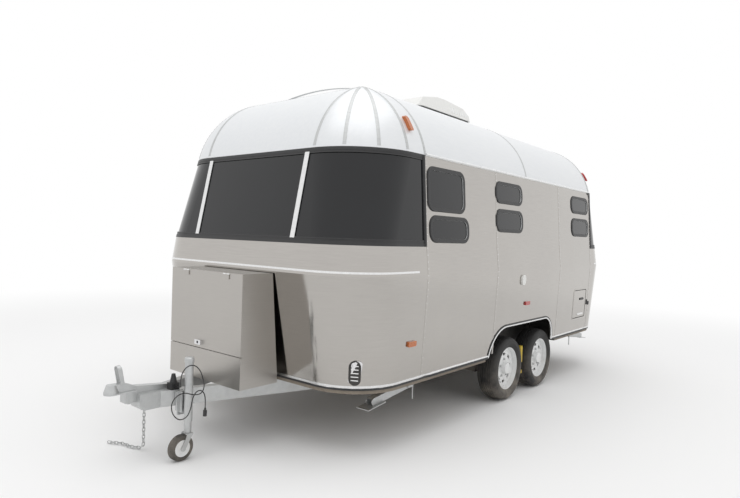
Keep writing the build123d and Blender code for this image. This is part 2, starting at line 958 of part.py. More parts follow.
# Coupling: a flared cup with the ball socket, and a channel back over the drawbar's nose
socket_y = coupling_nose_y + coupling_head_radius
with BuildPart() as coupling:
    with BuildSketch(Plane.YZ):
        with BuildLine():
            Polyline(
                (socket_y, coupling_z),
                (socket_y, coupling_top_z),
                (handle_foot_y + handle_strip_width, coupling_top_z),
                (nose_box_front_y, coupling_tail_z + (coupling_top_z - coupling_tail_z) / 2),
                (coupling_tail_y, coupling_tail_z),
                (coupling_tail_y, chassis_top_z),
                (nose_box_front_y, chassis_top_z),
                (nose_box_front_y, coupling_z),
                close=True,
            )
        make_face()
    extrude(amount=coupling_half_width, both=True)
    with Locations((0, socket_y, coupling_z)):
        Box(
            2 * coupling_flange_half_width,
            nose_box_front_y - socket_y,
            coupling_flange,
            align=(Align.CENTER, Align.MIN, Align.MIN),
        )
    with Locations((0, nose_box_front_y, coupling_z)):
        Box(
            2 * collar_half_width,
            nose_box_front_y - collar_front_y,
            coupling_z - collar_bottom_z,
            align=(Align.CENTER, Align.MAX, Align.MAX),
        )
        Box(
            2 * coupling_half_width,
            coupling_half_width,
            coupling_z - collar_bottom_z,
            align=(Align.CENTER, Align.MAX, Align.MAX),
        )
    with Locations((0, (collar_front_y + nose_box_front_y) / 2, collar_bottom_z)):
        Cylinder(bolt_radius, bolt_drop, align=(Align.CENTER, Align.CENTER, Align.MAX))
    with Locations((0, socket_y, coupling_z)):
        Cylinder(
            coupling_head_radius,
            2 * coupling_flange,
            align=(Align.CENTER, Align.CENTER, Align.MIN),
        )
    with Locations((0, socket_y, coupling_z + 2 * coupling_flange)):
        Cone(
            coupling_head_radius,
            coupling_crown_radius,
            coupling_top_z - coupling_z - 2 * coupling_flange,
            align=(Align.CENTER, Align.CENTER, Align.MIN),
        )
    with Locations((0, socket_y, coupling_z)):
        Cylinder(
            socket_radius,
            socket_depth,
            align=(Align.CENTER, Align.CENTER, Align.MIN),
            mode=Mode.SUBTRACT,
        )
save(coupling, "coupling")
handle_points = [
    (-handle_half_width, handle_foot_y, coupling_top_z),
    (-handle_half_width, handle_top_y, handle_top_z),
    (handle_half_width, handle_top_y, handle_top_z),
    (handle_half_width, handle_foot_y, coupling_top_z),
]
with BuildPart() as handle:
    with BuildLine():
        bow = FilletPolyline(*handle_points, radius=handle_bend)
    with BuildSketch(Plane(origin=handle_points[0], x_dir=(1, 0, 0), z_dir=bow % 0)):
        Rectangle(handle_strip_thickness, handle_strip_width)
    sweep()
    with Locations((0, 0, coupling_top_z)):
        Box(
            4 * handle_half_width,
            -2 * coupling_nose_y,
            4 * handle_strip_width,
            align=(Align.CENTER, Align.CENTER, Align.MAX),
            mode=Mode.SUBTRACT,
        )
save(handle, "coupling_handle")

# Jockey wheel: clamped outer tube, inner tube that winds, swivelling fork and wheel
clamp_inner_x = beam_nose_x + (jockey_y - beam_nose_y) * tan(beam_slant) + beam_width / 4
clamp_outer_x = jockey_x - jockey_outer_radius + clamp_lap
clamp_rib_step = clamp_bottom_width / clamp_rib_count
with BuildPart() as jockey_outer:
    with Locations((jockey_x, jockey_y, jockey_outer_bottom_z)):
        Cylinder(
            jockey_outer_radius,
            jockey_outer_top_z - jockey_outer_bottom_z,
            align=(Align.CENTER, Align.CENTER, Align.MIN),
        )
    with Locations((jockey_x, jockey_y, jockey_outer_top_z)):
        Cylinder(
            jockey_cap_radius,
            jockey_cap_height,
            align=(Align.CENTER, Align.CENTER, Align.MIN),
        )
    fillet(jockey_outer.edges().group_by(Axis.Z)[-1], jockey_cap_round)
    with BuildSketch(Plane.YZ.offset((clamp_inner_x + clamp_outer_x) / 2)):
        with BuildLine():
            Polyline(
                (jockey_y - clamp_top_width / 2, clamp_top_z),
                (jockey_y + clamp_top_width / 2, clamp_top_z),
                (jockey_y + clamp_bottom_width / 2, clamp_top_z - clamp_height),
                (jockey_y - clamp_bottom_width / 2, clamp_top_z - clamp_height),
                close=True,
            )
        make_face()
    extrude(amount=clamp_web / 2, both=True)
    for step in range(clamp_rib_count):
        rib_y = jockey_y + (step - (clamp_rib_count - 1) / 2) * clamp_rib_step
        with Locations(((clamp_inner_x + clamp_outer_x) / 2, rib_y, clamp_top_z)):
            Box(
                clamp_outer_x - clamp_inner_x,
                clamp_rib,
                clamp_height - clamp_rib_step,
                align=(Align.CENTER, Align.CENTER, Align.MAX),
            )
    with Locations((jockey_x, jockey_y, jockey_outer_bottom_z)):
        Cylinder(
            jockey_inner_radius + running_gap / 2,
            jockey_outer_top_z - jockey_outer_bottom_z - jockey_bore_stop,
            align=(Align.CENTER, Align.CENTER, Align.MIN),
            mode=Mode.SUBTRACT,
        )
    add(drawbar.part, mode=Mode.SUBTRACT)
save(jockey_outer, "jockey_outer_tube")
with BuildPart() as jockey_inner:
    with Locations((jockey_x, jockey_y, jockey_fork_top_z)):
        Cylinder(
            jockey_inner_radius,
            jockey_outer_bottom_z - jockey_fork_top_z + jockey_inner_lap,
            align=(Align.CENTER, Align.CENTER, Align.MIN),
        )
save(jockey_inner, "jockey_inner_tube")
jockey_wheel_y = jockey_y - jockey_trail
fork_half = jockey_wheel_width / 2 + jockey_fork_gap
with BuildPart() as jockey_fork:
    with Locations((jockey_x, jockey_y, jockey_fork_top_z - jockey_fork_plate)):
        Box(
            2 * (fork_half + jockey_fork_plate),
            2 * jockey_fork_reach,
            jockey_fork_plate - fit_gap,
            align=(Align.CENTER, Align.CENTER, Align.MIN),
        )
    for side in (-1, 1):
        with BuildSketch(Plane.YZ.offset(jockey_x + side * (fork_half + jockey_fork_plate / 2))):
            with BuildLine():
                Polyline(
                    (jockey_y + jockey_fork_reach, jockey_fork_top_z - fit_gap),
                    (jockey_y - jockey_fork_reach, jockey_fork_top_z - fit_gap),
                    (jockey_wheel_y - jockey_fork_foot, jockey_wheel_radius),
                    (jockey_wheel_y + jockey_fork_foot, jockey_wheel_radius),
                    close=True,
                )
            make_face()
            with Locations((jockey_wheel_y, jockey_wheel_radius)):
                Circle(jockey_fork_foot)
        extrude(amount=jockey_fork_plate / 2, both=True)
    with Locations((jockey_x, jockey_wheel_y, jockey_wheel_radius)):
        Cylinder(jockey_pin_radius, 2 * (fork_half + jockey_fork_plate), rotation=(0, 90, 0))
save(jockey_fork, "jockey_fork")
with BuildPart() as jockey_wheel:
    with Locations((jockey_x, jockey_wheel_y, jockey_wheel_radius)):
        Cylinder(jockey_wheel_radius, jockey_wheel_width, rotation=(0, 90, 0))
        Cylinder(
            jockey_pin_radius + pin_gap, jockey_wheel_width, rotation=(0, 90, 0), mode=Mode.SUBTRACT
        )
    chamfer(jockey_wheel.edges().filter_by(GeomType.CIRCLE).group_by(SortBy.RADIUS)[-1], jockey_tread_round)
save(jockey_wheel, "jockey_wheel")

# Corner steadies: ears and a hook under the floor, and a channel leg with its foot
steady_x = body_half_width - steady_inset
steady_ear_x = steady_width / 2 + steady_ear_gap
with BuildPart() as steady_brackets:
    for name, side, pivot_y, points in steady_rows:
        for ear in (-1, 1):
            with Locations(
                (side * steady_x + ear * (steady_ear_x + steady_ear / 2), pivot_y, chassis_top_z)
            ):
                Box(
                    steady_ear,
                    steady_ear_length,
                    chassis_top_z - steady_pivot_z + steady_ear_drop,
                    align=(Align.CENTER, Align.CENTER, Align.MAX),
                )
        with Locations((side * steady_x, pivot_y, steady_pivot_z)):
            Cylinder(steady_pin_radius, 2 * (steady_ear_x + steady_ear), rotation=(0, 90, 0))
        hook_x = steady_x + steady_ear_x + steady_ear
        hook_y = pivot_y - points * (steady_ear_length / 2 - steady_hook_radius)
        with Locations((side * hook_x, hook_y, steady_hook_bottom_z)):
            Cylinder(
                steady_hook_radius,
                chassis_top_z - steady_hook_bottom_z,
                align=(Align.CENTER, Align.CENTER, Align.MIN),
            )
save(steady_brackets, "steady_brackets")
for name, side, pivot_y, points in steady_rows:
    leg_plane = Plane(
        origin=(side * steady_x, pivot_y, steady_pivot_z),
        x_dir=(0, points * cos(radians(steady_droop)), -sin(radians(steady_droop))),
        z_dir=(points, 0, 0),
    )
    with BuildPart() as steady:
        with BuildSketch(leg_plane):
            with Locations((steady_length / 2, 0)):
                SlotCenterToCenter(steady_length, steady_depth)
        extrude(amount=steady_width / 2, both=True)
        with BuildSketch(leg_plane):
            with Locations((steady_length / 2, -steady_sheet)):
                Rectangle(steady_length + 2 * steady_depth, steady_depth)
        extrude(amount=steady_width / 2 - steady_sheet, both=True, mode=Mode.SUBTRACT)
        with BuildSketch(leg_plane):
            Circle(steady_pin_radius + pin_gap)
        extrude(amount=steady_width, both=True, mode=Mode.SUBTRACT)
        with BuildSketch(leg_plane):
            with Locations((steady_length, -steady_depth / 2)):
                Rectangle(steady_foot_length, steady_foot_thickness)
        extrude(amount=steady_foot_width / 2, both=True)
    save(steady, f"steady_{name}")

# Roof air conditioner on a base that fits the crown
cooler_middle_y = (cooler_front_y + cooler_rear_y) / 2
cooler_length = cooler_rear_y - cooler_front_y
cooler_seat_z = crown_height(cooler_half_width, 0) - cooler_base_sink
cooler_rise = max(height for _, height in cooler_outline)
with BuildPart() as cooler_base:
    with BuildSketch(Plane.XY.offset(cooler_seat_z)):
        with Locations((0, cooler_middle_y)):
            RectangleRounded(
                2 * (cooler_half_width - cooler_base_inset),
                cooler_length - 2 * cooler_base_inset,
                cooler_round,
            )
    extrude(amount=cooler_base_z - cooler_seat_z)
    add(outer_roof, mode=Mode.SUBTRACT)
save(cooler_base, "cooler_base")
with BuildPart() as cooler:
    with BuildSketch(Plane.XY.offset(cooler_base_z)):
        with Locations((0, cooler_middle_y)):
            RectangleRounded(2 * cooler_half_width, cooler_length, cooler_round)
    with BuildSketch(Plane.XY.offset(cooler_base_z + cooler_rise)):
        with Locations((0, cooler_middle_y)):
            RectangleRounded(
                2 * (cooler_half_width - cooler_side_lean), cooler_length, cooler_round
            )
    loft(ruled=True)
    with BuildSketch(Plane.YZ):
        with BuildLine():
            Polyline(
                *[(cooler_front_y + along, cooler_base_z + up) for along, up in cooler_outline],
                close=True,
            )
        make_face()
    extrude(amount=2 * cooler_half_width, both=True, mode=Mode.INTERSECT)
save(cooler, "cooler_shroud")

# Fittings on the skin: each is a pad that follows the body, one row each with the name
# of its node, the height that it stands out by, its middle, its size along Y and Z, its
# corner radius, and the sides it is on
fitting_columns = ("node", "depth", "y", "z", "length", "height", "corner", "sides")
roof_fittings = [
    ("clearance_lamps_front", 26.0, -1245.0, 2315.0, 40.0, 112.0, 18.0, (1, -1)),
    ("clearance_lamps_rear", 26.0, 2525.0, 2312.0, 60.0, 105.0, 28.0, (1, -1)),
]
wall_fittings = [
    ("side_markers_front", 14.0, -1271.0, 747.0, 93.0, 38.0, 8.0, (1, -1)),
    ("side_markers_rear", 14.0, 627.0, 904.0, 93.0, 34.0, 8.0, (1, -1)),
    ("power_inlet", 16.0, 495.0, 1132.0, 74.0, 96.0, 36.0, (1,)),
    ("corner_grille", 10.0, -1716.0, 590.0, 46.0, 160.0, 22.0, (1,)),
]


def skin_pad(grown, bare, row, side):
    """Pad between a body and the same body grown, inside a block seen from the side."""
    _, _, y, z, length, height, corner, _ = row
    block = side_block(side, y - length / 2, length, z - height / 2, height, corner, 0, 0)
    return (block & grown) - bare


for maker, bare, rows in (
    (roof_solid, outer_roof, roof_fittings),
    (walls_solid, outer_walls, wall_fittings),
):
    for row in rows:
        grown = maker(-row[1])
        pads = [skin_pad(grown, bare, row, side) for side in row[7]]
        with BuildPart() as fitting:
            for pad in pads:
                add(pad)
        save(fitting, row[0])

# Tail lamps and the blank number plate on the rear panel, below the rear window
for name, depth, middles, z, width, height, corner in (
    ("tail_lamps", 22.0, (-720.0, 720.0), 690.0, 240.0, 110.0, 30.0),
    ("number_plate", 8.0, (0.0,), 690.0, 520.0, 115.0, 12.0),
):
    skin = walls_solid(-depth) - outer_walls
    blocks = []
    for middle in middles:
        with BuildPart() as block:
            with BuildSketch(Plane(origin=(middle, 0, z), x_dir=(-1, 0, 0), z_dir=(0, 1, 0))):
                RectangleRounded(width, height, corner)
            extrude(amount=far)
        blocks.append(skin & block.part)
    with BuildPart() as fitting:
        for block in blocks:
            add(block)
    save(fitting, name)

# Dampers between the wheels, each hung from an arm on the chassis rail
with BuildPart() as dampers:
    for side in (-1, 1):
        with Locations((side * damper_x, damper_y, damper_top_z)):
            Cylinder(
                damper_radius,
                damper_top_z - damper_sleeve_z,
                align=(Align.CENTER, Align.CENTER, Align.MAX),
            )
            Cylinder(
                damper_rod_radius,
                damper_top_z - damper_bottom_z,
                align=(Align.CENTER, Align.CENTER, Align.MAX),
            )
        with Locations((side * damper_x, damper_y, damper_bottom_z)):
            Cylinder(damper_radius, damper_foot, align=(Align.CENTER, Align.CENTER, Align.MIN))
    add(chassis.part, mode=Mode.SUBTRACT)
save(dampers, "dampers")

# Entrance door handle and the storage box's lock
handle_y = door_front_y + door_width - door_handle_inset
with BuildPart() as door_handle:
    skin = walls_solid(-door_handle_depth) - outer_walls
    block = side_block(
        -1,
        handle_y - door_handle_length / 2,
        door_handle_length,
        door_handle_z - door_handle_height / 2,
        door_handle_height,
        door_handle_length / 3,
        0,
        0,
    )
    pull = skin & block
    add(pull)
save(door_handle, "entrance_door_handle")
with BuildPart() as box_lock:
    with Locations((box_lock_x, box_front_y, box_lock_z)):
        Box(
            box_lock_width,
            box_lock_depth,
            box_lock_height,
            align=(Align.CENTER, Align.MAX, Align.CENTER),
        )
        Cylinder(box_lock_height / 3, 2 * box_lock_depth, rotation=(90, 0, 0))
    split(bisect_by=Plane.XZ.offset(-box_front_y), keep=Keep.TOP)
save(box_lock, "storage_box_lock")

# Safety chain: flat-sided links, each a quarter turn on from the last, and its shackle
chain_half_length = chain_link_length / 2
chain_half_width = chain_link_width / 2


def link_outline(half_length, half_width):
    """Corners of an eight-sided link."""
    cut = half_width * 0.55
    return [
        (half_length, half_width - cut),
        (half_length - cut, half_width),
        (cut - half_length, half_width),
        (-half_length, half_width - cut),
        (-half_length, cut - half_width),
        (cut - half_length, -half_width),
        (half_length - cut, -half_width),
        (half_length, cut - half_width),
    ]


with BuildLine() as chain_line:
    FilletPolyline(*chain_route, radius=chain_bend)
chain_path = chain_line.wires()[0]
link_count = int(chain_path.length / chain_pitch)
links = []
for step in range(link_count):
    along = (step + 0.5) / link_count
    heading = chain_path % along
    across = Vector(0, 0, 1).cross(heading) if abs(heading.Z) < 0.9 else Vector(1, 0, 0)
    if step % 2:
        across = heading.cross(across)
    link_plane = Plane(origin=chain_path @ along, x_dir=heading, z_dir=across)
    with BuildPart() as link:
        with BuildSketch(link_plane):
            with BuildLine():
                Polyline(*link_outline(chain_half_length, chain_half_width), close=True)
            make_face()
        extrude(amount=chain_wire / 2, both=True)
        with BuildSketch(link_plane):
            with BuildLine():
                Polyline(
                    *link_outline(chain_half_length - chain_wire, chain_half_width - chain_wire),
                    close=True,
                )
            make_face()
        extrude(amount=chain_wire, both=True, mode=Mode.SUBTRACT)
    links.append(link.part)
with BuildPart() as chain:
    for link in links:
        add(link)
    with Locations(chain_route[0]):
        Box(
            chain_wire,
            shackle_width,
            shackle_height,
            align=(Align.CENTER, Align.CENTER, Align.MIN),
        )
save(chain, "safety_chain")
print("chain links", link_count, "pitch", round(chain_path.length / link_count, 2))

# Towing lead: gland with its rubber boot, the free lead, and its plug
gland_x = beam_nose_x + (gland_y - beam_nose_y) * tan(beam_slant)
with BuildPart() as gland:
    with Locations((gland_x, gland_y, chassis_top_z)):
        Box(
            gland_box,
            gland_box,
            gland_box_height,
            align=(Align.CENTER, Align.CENTER, Align.MIN),
        )
    with Locations((gland_x, gland_y, chassis_top_z + gland_box_height)):
        Cone(
            gland_boot_radius,
            gland_boot_tip,
            gland_boot_height,
            align=(Align.CENTER, Align.CENTER, Align.MIN),
        )
    with Locations((gland_x + gland_box / 2, gland_y, lead_exit_z)):
        Cylinder(
            gland_sleeve_radius,
            gland_sleeve_length,
            rotation=(0, 90, 0),
            align=(Align.CENTER, Align.CENTER, Align.MIN),
        )
save(gland, "lead_gland")
lead_route = [
    (gland_x + gland_box / 2 + gland_sleeve_length, gland_y, lead_exit_z),
    *lead_points,
]


def bend_radii(points):
    """Largest radius at each corner, from its shorter run and its turn."""
    corners = [Vector(*point) for point in points]
    radii = []
    for before, here, after in zip(corners, corners[1:], corners[2:]):
        turn = (here - before).get_angle(after - here)
        shorter = min((here - before).length, (after - here).length)
        radii.append(0.45 * shorter / tan(radians(turn) / 2))
    return radii


lead_radii = bend_radii(lead_route)
print("lead radii", [round(radius, 1) for radius in lead_radii])
with BuildPart() as lead:
    with BuildLine() as lead_line:
        FilletPolyline(*lead_route, radius=lead_radii)
    lead_path = lead_line.wires()[0]
    with BuildSketch(Plane(origin=lead_route[0], z_dir=lead_path % 0)):
        Circle(lead_radius)
    sweep(path=lead_path)
save(lead, "towing_lead")
lead_volume = pi * lead_radius**2 * lead_path.length
print("lead length", round(lead_path.length, 1), "volume", lead.part.volume / lead_volume)
plug_plane = Plane(origin=lead_route[-1], z_dir=lead_path % 1)
with BuildPart() as plug:
    with BuildSketch(plug_plane):
        Circle(plug_neck)
    extrude(amount=plug_neck_length)
    with BuildSketch(plug_plane.offset(plug_neck_length)):
        Circle(plug_radius)
    extrude(amount=plug_length - plug_neck_length)
save(plug, "lead_plug")
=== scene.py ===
import json
import math

import bmesh
import bpy
from mathutils import Matrix, Vector


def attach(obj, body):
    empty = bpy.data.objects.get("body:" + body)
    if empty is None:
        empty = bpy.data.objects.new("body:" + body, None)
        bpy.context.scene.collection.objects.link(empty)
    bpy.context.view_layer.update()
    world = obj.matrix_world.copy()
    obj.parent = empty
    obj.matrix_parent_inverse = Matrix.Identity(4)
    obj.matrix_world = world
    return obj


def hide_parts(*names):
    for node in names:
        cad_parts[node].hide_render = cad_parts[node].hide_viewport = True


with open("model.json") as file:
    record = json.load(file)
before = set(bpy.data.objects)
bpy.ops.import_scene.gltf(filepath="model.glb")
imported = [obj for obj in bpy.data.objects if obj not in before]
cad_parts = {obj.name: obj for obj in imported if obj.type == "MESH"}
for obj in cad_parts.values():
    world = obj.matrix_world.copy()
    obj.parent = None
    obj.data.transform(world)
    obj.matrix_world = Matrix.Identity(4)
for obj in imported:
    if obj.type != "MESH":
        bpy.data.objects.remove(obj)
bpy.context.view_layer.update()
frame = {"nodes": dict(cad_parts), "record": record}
nodes = frame["nodes"]
print("frame loaded:", len(nodes), "nodes")

# camera where the photographer stood, from the object's own perspective
view = {
    "place": (3.4521, -4.5660, 1.5009),
    "yaw": 39.428,
    "pitch": -1.3416,
    "roll": 1.9443,
    "lens": 27.73,
    "sensor": 36.0,
}


def addCamera(v):
    yaw, pitch, roll = (math.radians(v[k]) for k in ("yaw", "pitch", "roll"))
    forward = Vector((-math.sin(yaw) * math.cos(pitch), math.cos(yaw) * math.cos(pitch), math.sin(pitch)))
    level = Vector((math.cos(yaw), math.sin(yaw), 0))
    above = level.cross(forward)
    right = math.cos(roll) * level + math.sin(roll) * above
    up = math.cos(roll) * above - math.sin(roll) * level
    data = bpy.data.cameras.new("photoCamera")
    data.lens = v["lens"]
    data.sensor_width = v["sensor"]
    data.sensor_fit = "HORIZONTAL"
    data.clip_end = 200
    camera = bpy.data.objects.new("photoCamera", data)
    turn = Matrix((right, up, -forward)).transposed()
    camera.matrix_world = Matrix.Translation(v["place"]) @ turn.to_4x4()
    bpy.context.scene.collection.objects.link(camera)
    bpy.context.scene.camera = camera


addCamera(view)
bpy.context.scene.view_settings.view_transform = "Standard"

# towing lead: from its gland on the left beam, in loose loops, to its plug
lead = {
    "route": [
        (0.1211, -2.470, 0.464), (0.161, -2.473, 0.465), (0.203, -2.492, 0.483), (0.229, -2.513, 0.527),
        (0.240, -2.510, 0.582), (0.254, -2.482, 0.624), (0.277, -2.442, 0.630), (0.296, -2.412, 0.592),
        (0.309, -2.397, 0.536), (0.318, -2.393, 0.480), (0.318, -2.419, 0.443), (0.307, -2.470, 0.446),
        (0.291, -2.521, 0.468), (0.277, -2.571, 0.452), (0.272, -2.603, 0.405), (0.286, -2.602, 0.346),
        (0.313, -2.570, 0.304), (0.340, -2.531, 0.322), (0.348, -2.511, 0.374), (0.345, -2.500, 0.428),
        (0.348, -2.482, 0.472), (0.355, -2.451, 0.486), (0.364, -2.425, 0.462), (0.369, -2.418, 0.414),
        (0.370, -2.420, 0.366),
    ],
    "diameter": 0.007,
    "length": 1.19,
}


def addLead(values):
    curve = bpy.data.curves.new("towingLead", "CURVE")
    curve.dimensions = "3D"
    curve.bevel_depth = 1.0  # the points' radius gives the thickness
    curve.bevel_resolution = 4
    curve.resolution_u = 10
    spline = curve.splines.new("NURBS")
    spline.points.add(len(values["route"]) - 1)
    for point, place in zip(spline.points, values["route"]):
        point.co = (*place, 1.0)
        point.radius = values["diameter"] / 2
    spline.order_u = 3
    spline.use_endpoint_u = True
    piece = bpy.data.objects.new("towingLead", curve)
    bpy.context.scene.collection.objects.link(piece)
    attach(piece, "caravan")
    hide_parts("towing_lead")
    return piece


leadPiece = addLead(lead)
print("lead laid")


# shader node helpers
def addNode(tree, kind, values=None, **settings):
    node = tree.nodes.new(kind)
    for key, value in settings.items():
        setattr(node, key, value)
    for key, value in (values or {}).items():
        node.inputs[key].default_value = value
    return node


def newGroup(name, inputs, outputs):
    group = bpy.data.node_groups.new(name, "ShaderNodeTree")
    for label, kind, value in inputs:
        socket = group.interface.new_socket(name=label, in_out="INPUT", socket_type="NodeSocket" + kind)
        if value is not None:
            socket.default_value = value
    for label, kind in outputs:
        group.interface.new_socket(name=label, in_out="OUTPUT", socket_type="NodeSocket" + kind)
    return group, group.nodes.new("NodeGroupInput"), group.nodes.new("NodeGroupOutput")


def makeGrainGroup():
    group, given, result = newGroup(
        "stretchedGrain",
        [
            ("Vector", "Vector", None), ("Stretch", "Vector", (1, 1, 1)),
            ("Scale", "Float", 20.0), ("Contrast", "Float", 0.25),
        ],
        [("Grain", "Float")],
    )
    link = group.links.new
    stretch = addNode(group, "ShaderNodeVectorMath", operation="MULTIPLY")
    noise = addNode(group, "ShaderNodeTexNoise", {"Detail": 4.0, "Roughness": 0.6})
    low = addNode(group, "ShaderNodeMath", {0: 0.5}, operation="SUBTRACT")
    high = addNode(group, "ShaderNodeMath", {0: 0.5}, operation="ADD")
    level = addNode(group, "ShaderNodeMapRange")
    link(given.outputs["Vector"], stretch.inputs[0])
    link(given.outputs["Stretch"], stretch.inputs[1])
    link(stretch.outputs[0], noise.inputs["Vector"])
    link(given.outputs["Scale"], noise.inputs["Scale"])
    link(given.outputs["Contrast"], low.inputs[1])
    link(given.outputs["Contrast"], high.inputs[1])
    link(noise.outputs["Fac"], level.inputs["Value"])
    link(low.outputs[0], level.inputs["From Min"])
    link(high.outputs[0], level.inputs["From Max"])
    link(level.outputs["Result"], result.inputs["Grain"])
    return group


def makeDustGroup():
    group, given, result = newGroup(
        "roadDust",
        [
            ("Vector", "Vector", None), ("Height", "Float", 0.6),
            ("Amount", "Float", 0.5), ("Patches", "Float", 6.0),
        ],
        [("Mask", "Float")],
    )
    link = group.links.new
    parts = addNode(group, "ShaderNodeSeparateXYZ")
    fall = addNode(group, "ShaderNodeMapRange", {"To Min": 1.0, "To Max": 0.0}, interpolation_type="SMOOTHSTEP")
    noise = addNode(group, "ShaderNodeTexNoise", {"Detail": 5.0, "Roughness": 0.65})
    shape = addNode(group, "ShaderNodeMapRange", {"From Min": 0.35, "From Max": 0.7})
    both = addNode(group, "ShaderNodeMath", operation="MULTIPLY")
    scaled = addNode(group, "ShaderNodeMath", operation="MULTIPLY", use_clamp=True)
    link(given.outputs["Vector"], parts.inputs[0])
    link(parts.outputs["Z"], fall.inputs["Value"])
    link(given.outputs["Height"], fall.inputs["From Max"])
    link(given.outputs["Vector"], noise.inputs["Vector"])
    link(given.outputs["Patches"], noise.inputs["Scale"])
    link(noise.outputs["Fac"], shape.inputs["Value"])
    link(fall.outputs["Result"], both.inputs[0])
    link(shape.outputs["Result"], both.inputs[1])
    link(both.outputs[0], scaled.inputs[0])
    link(given.outputs["Amount"], scaled.inputs[1])
    link(scaled.outputs[0], result.inputs["Mask"])
    return group


def makeBandGroup():
    group, given, result = newGroup(
        "sheetBands",
        [("Vector", "Vector", None), ("Size", "Float", 1.0), ("Wander", "Float", 0.3)],
        [("Tone", "Float"), ("Height", "Float")],
    )
    link = group.links.new
    broad = addNode(group, "ShaderNodeTexNoise", {"Detail": 1.5, "Roughness": 0.45})
    fine = addNode(group, "ShaderNodeTexNoise", {"Detail": 3.0, "Roughness": 0.5})
    faster = addNode(group, "ShaderNodeMath", {1: 4.0}, operation="MULTIPLY")
    mixed = addNode(group, "ShaderNodeMix")
    link(given.outputs["Vector"], broad.inputs["Vector"])
    link(given.outputs["Size"], broad.inputs["Scale"])
    link(given.outputs["Size"], faster.inputs[0])
    link(given.outputs["Vector"], fine.inputs["Vector"])
    link(faster.outputs[0], fine.inputs["Scale"])
    link(given.outputs["Wander"], mixed.inputs["Factor"])
    link(broad.outputs["Fac"], mixed.inputs["A"])
    link(fine.outputs["Fac"], mixed.inputs["B"])
    link(mixed.outputs["Result"], result.inputs["Tone"])
    link(broad.outputs["Fac"], result.inputs["Height"])
    return group


grainGroup = makeGrainGroup()
dustGroup = makeDustGroup()
bandGroup = makeBandGroup()


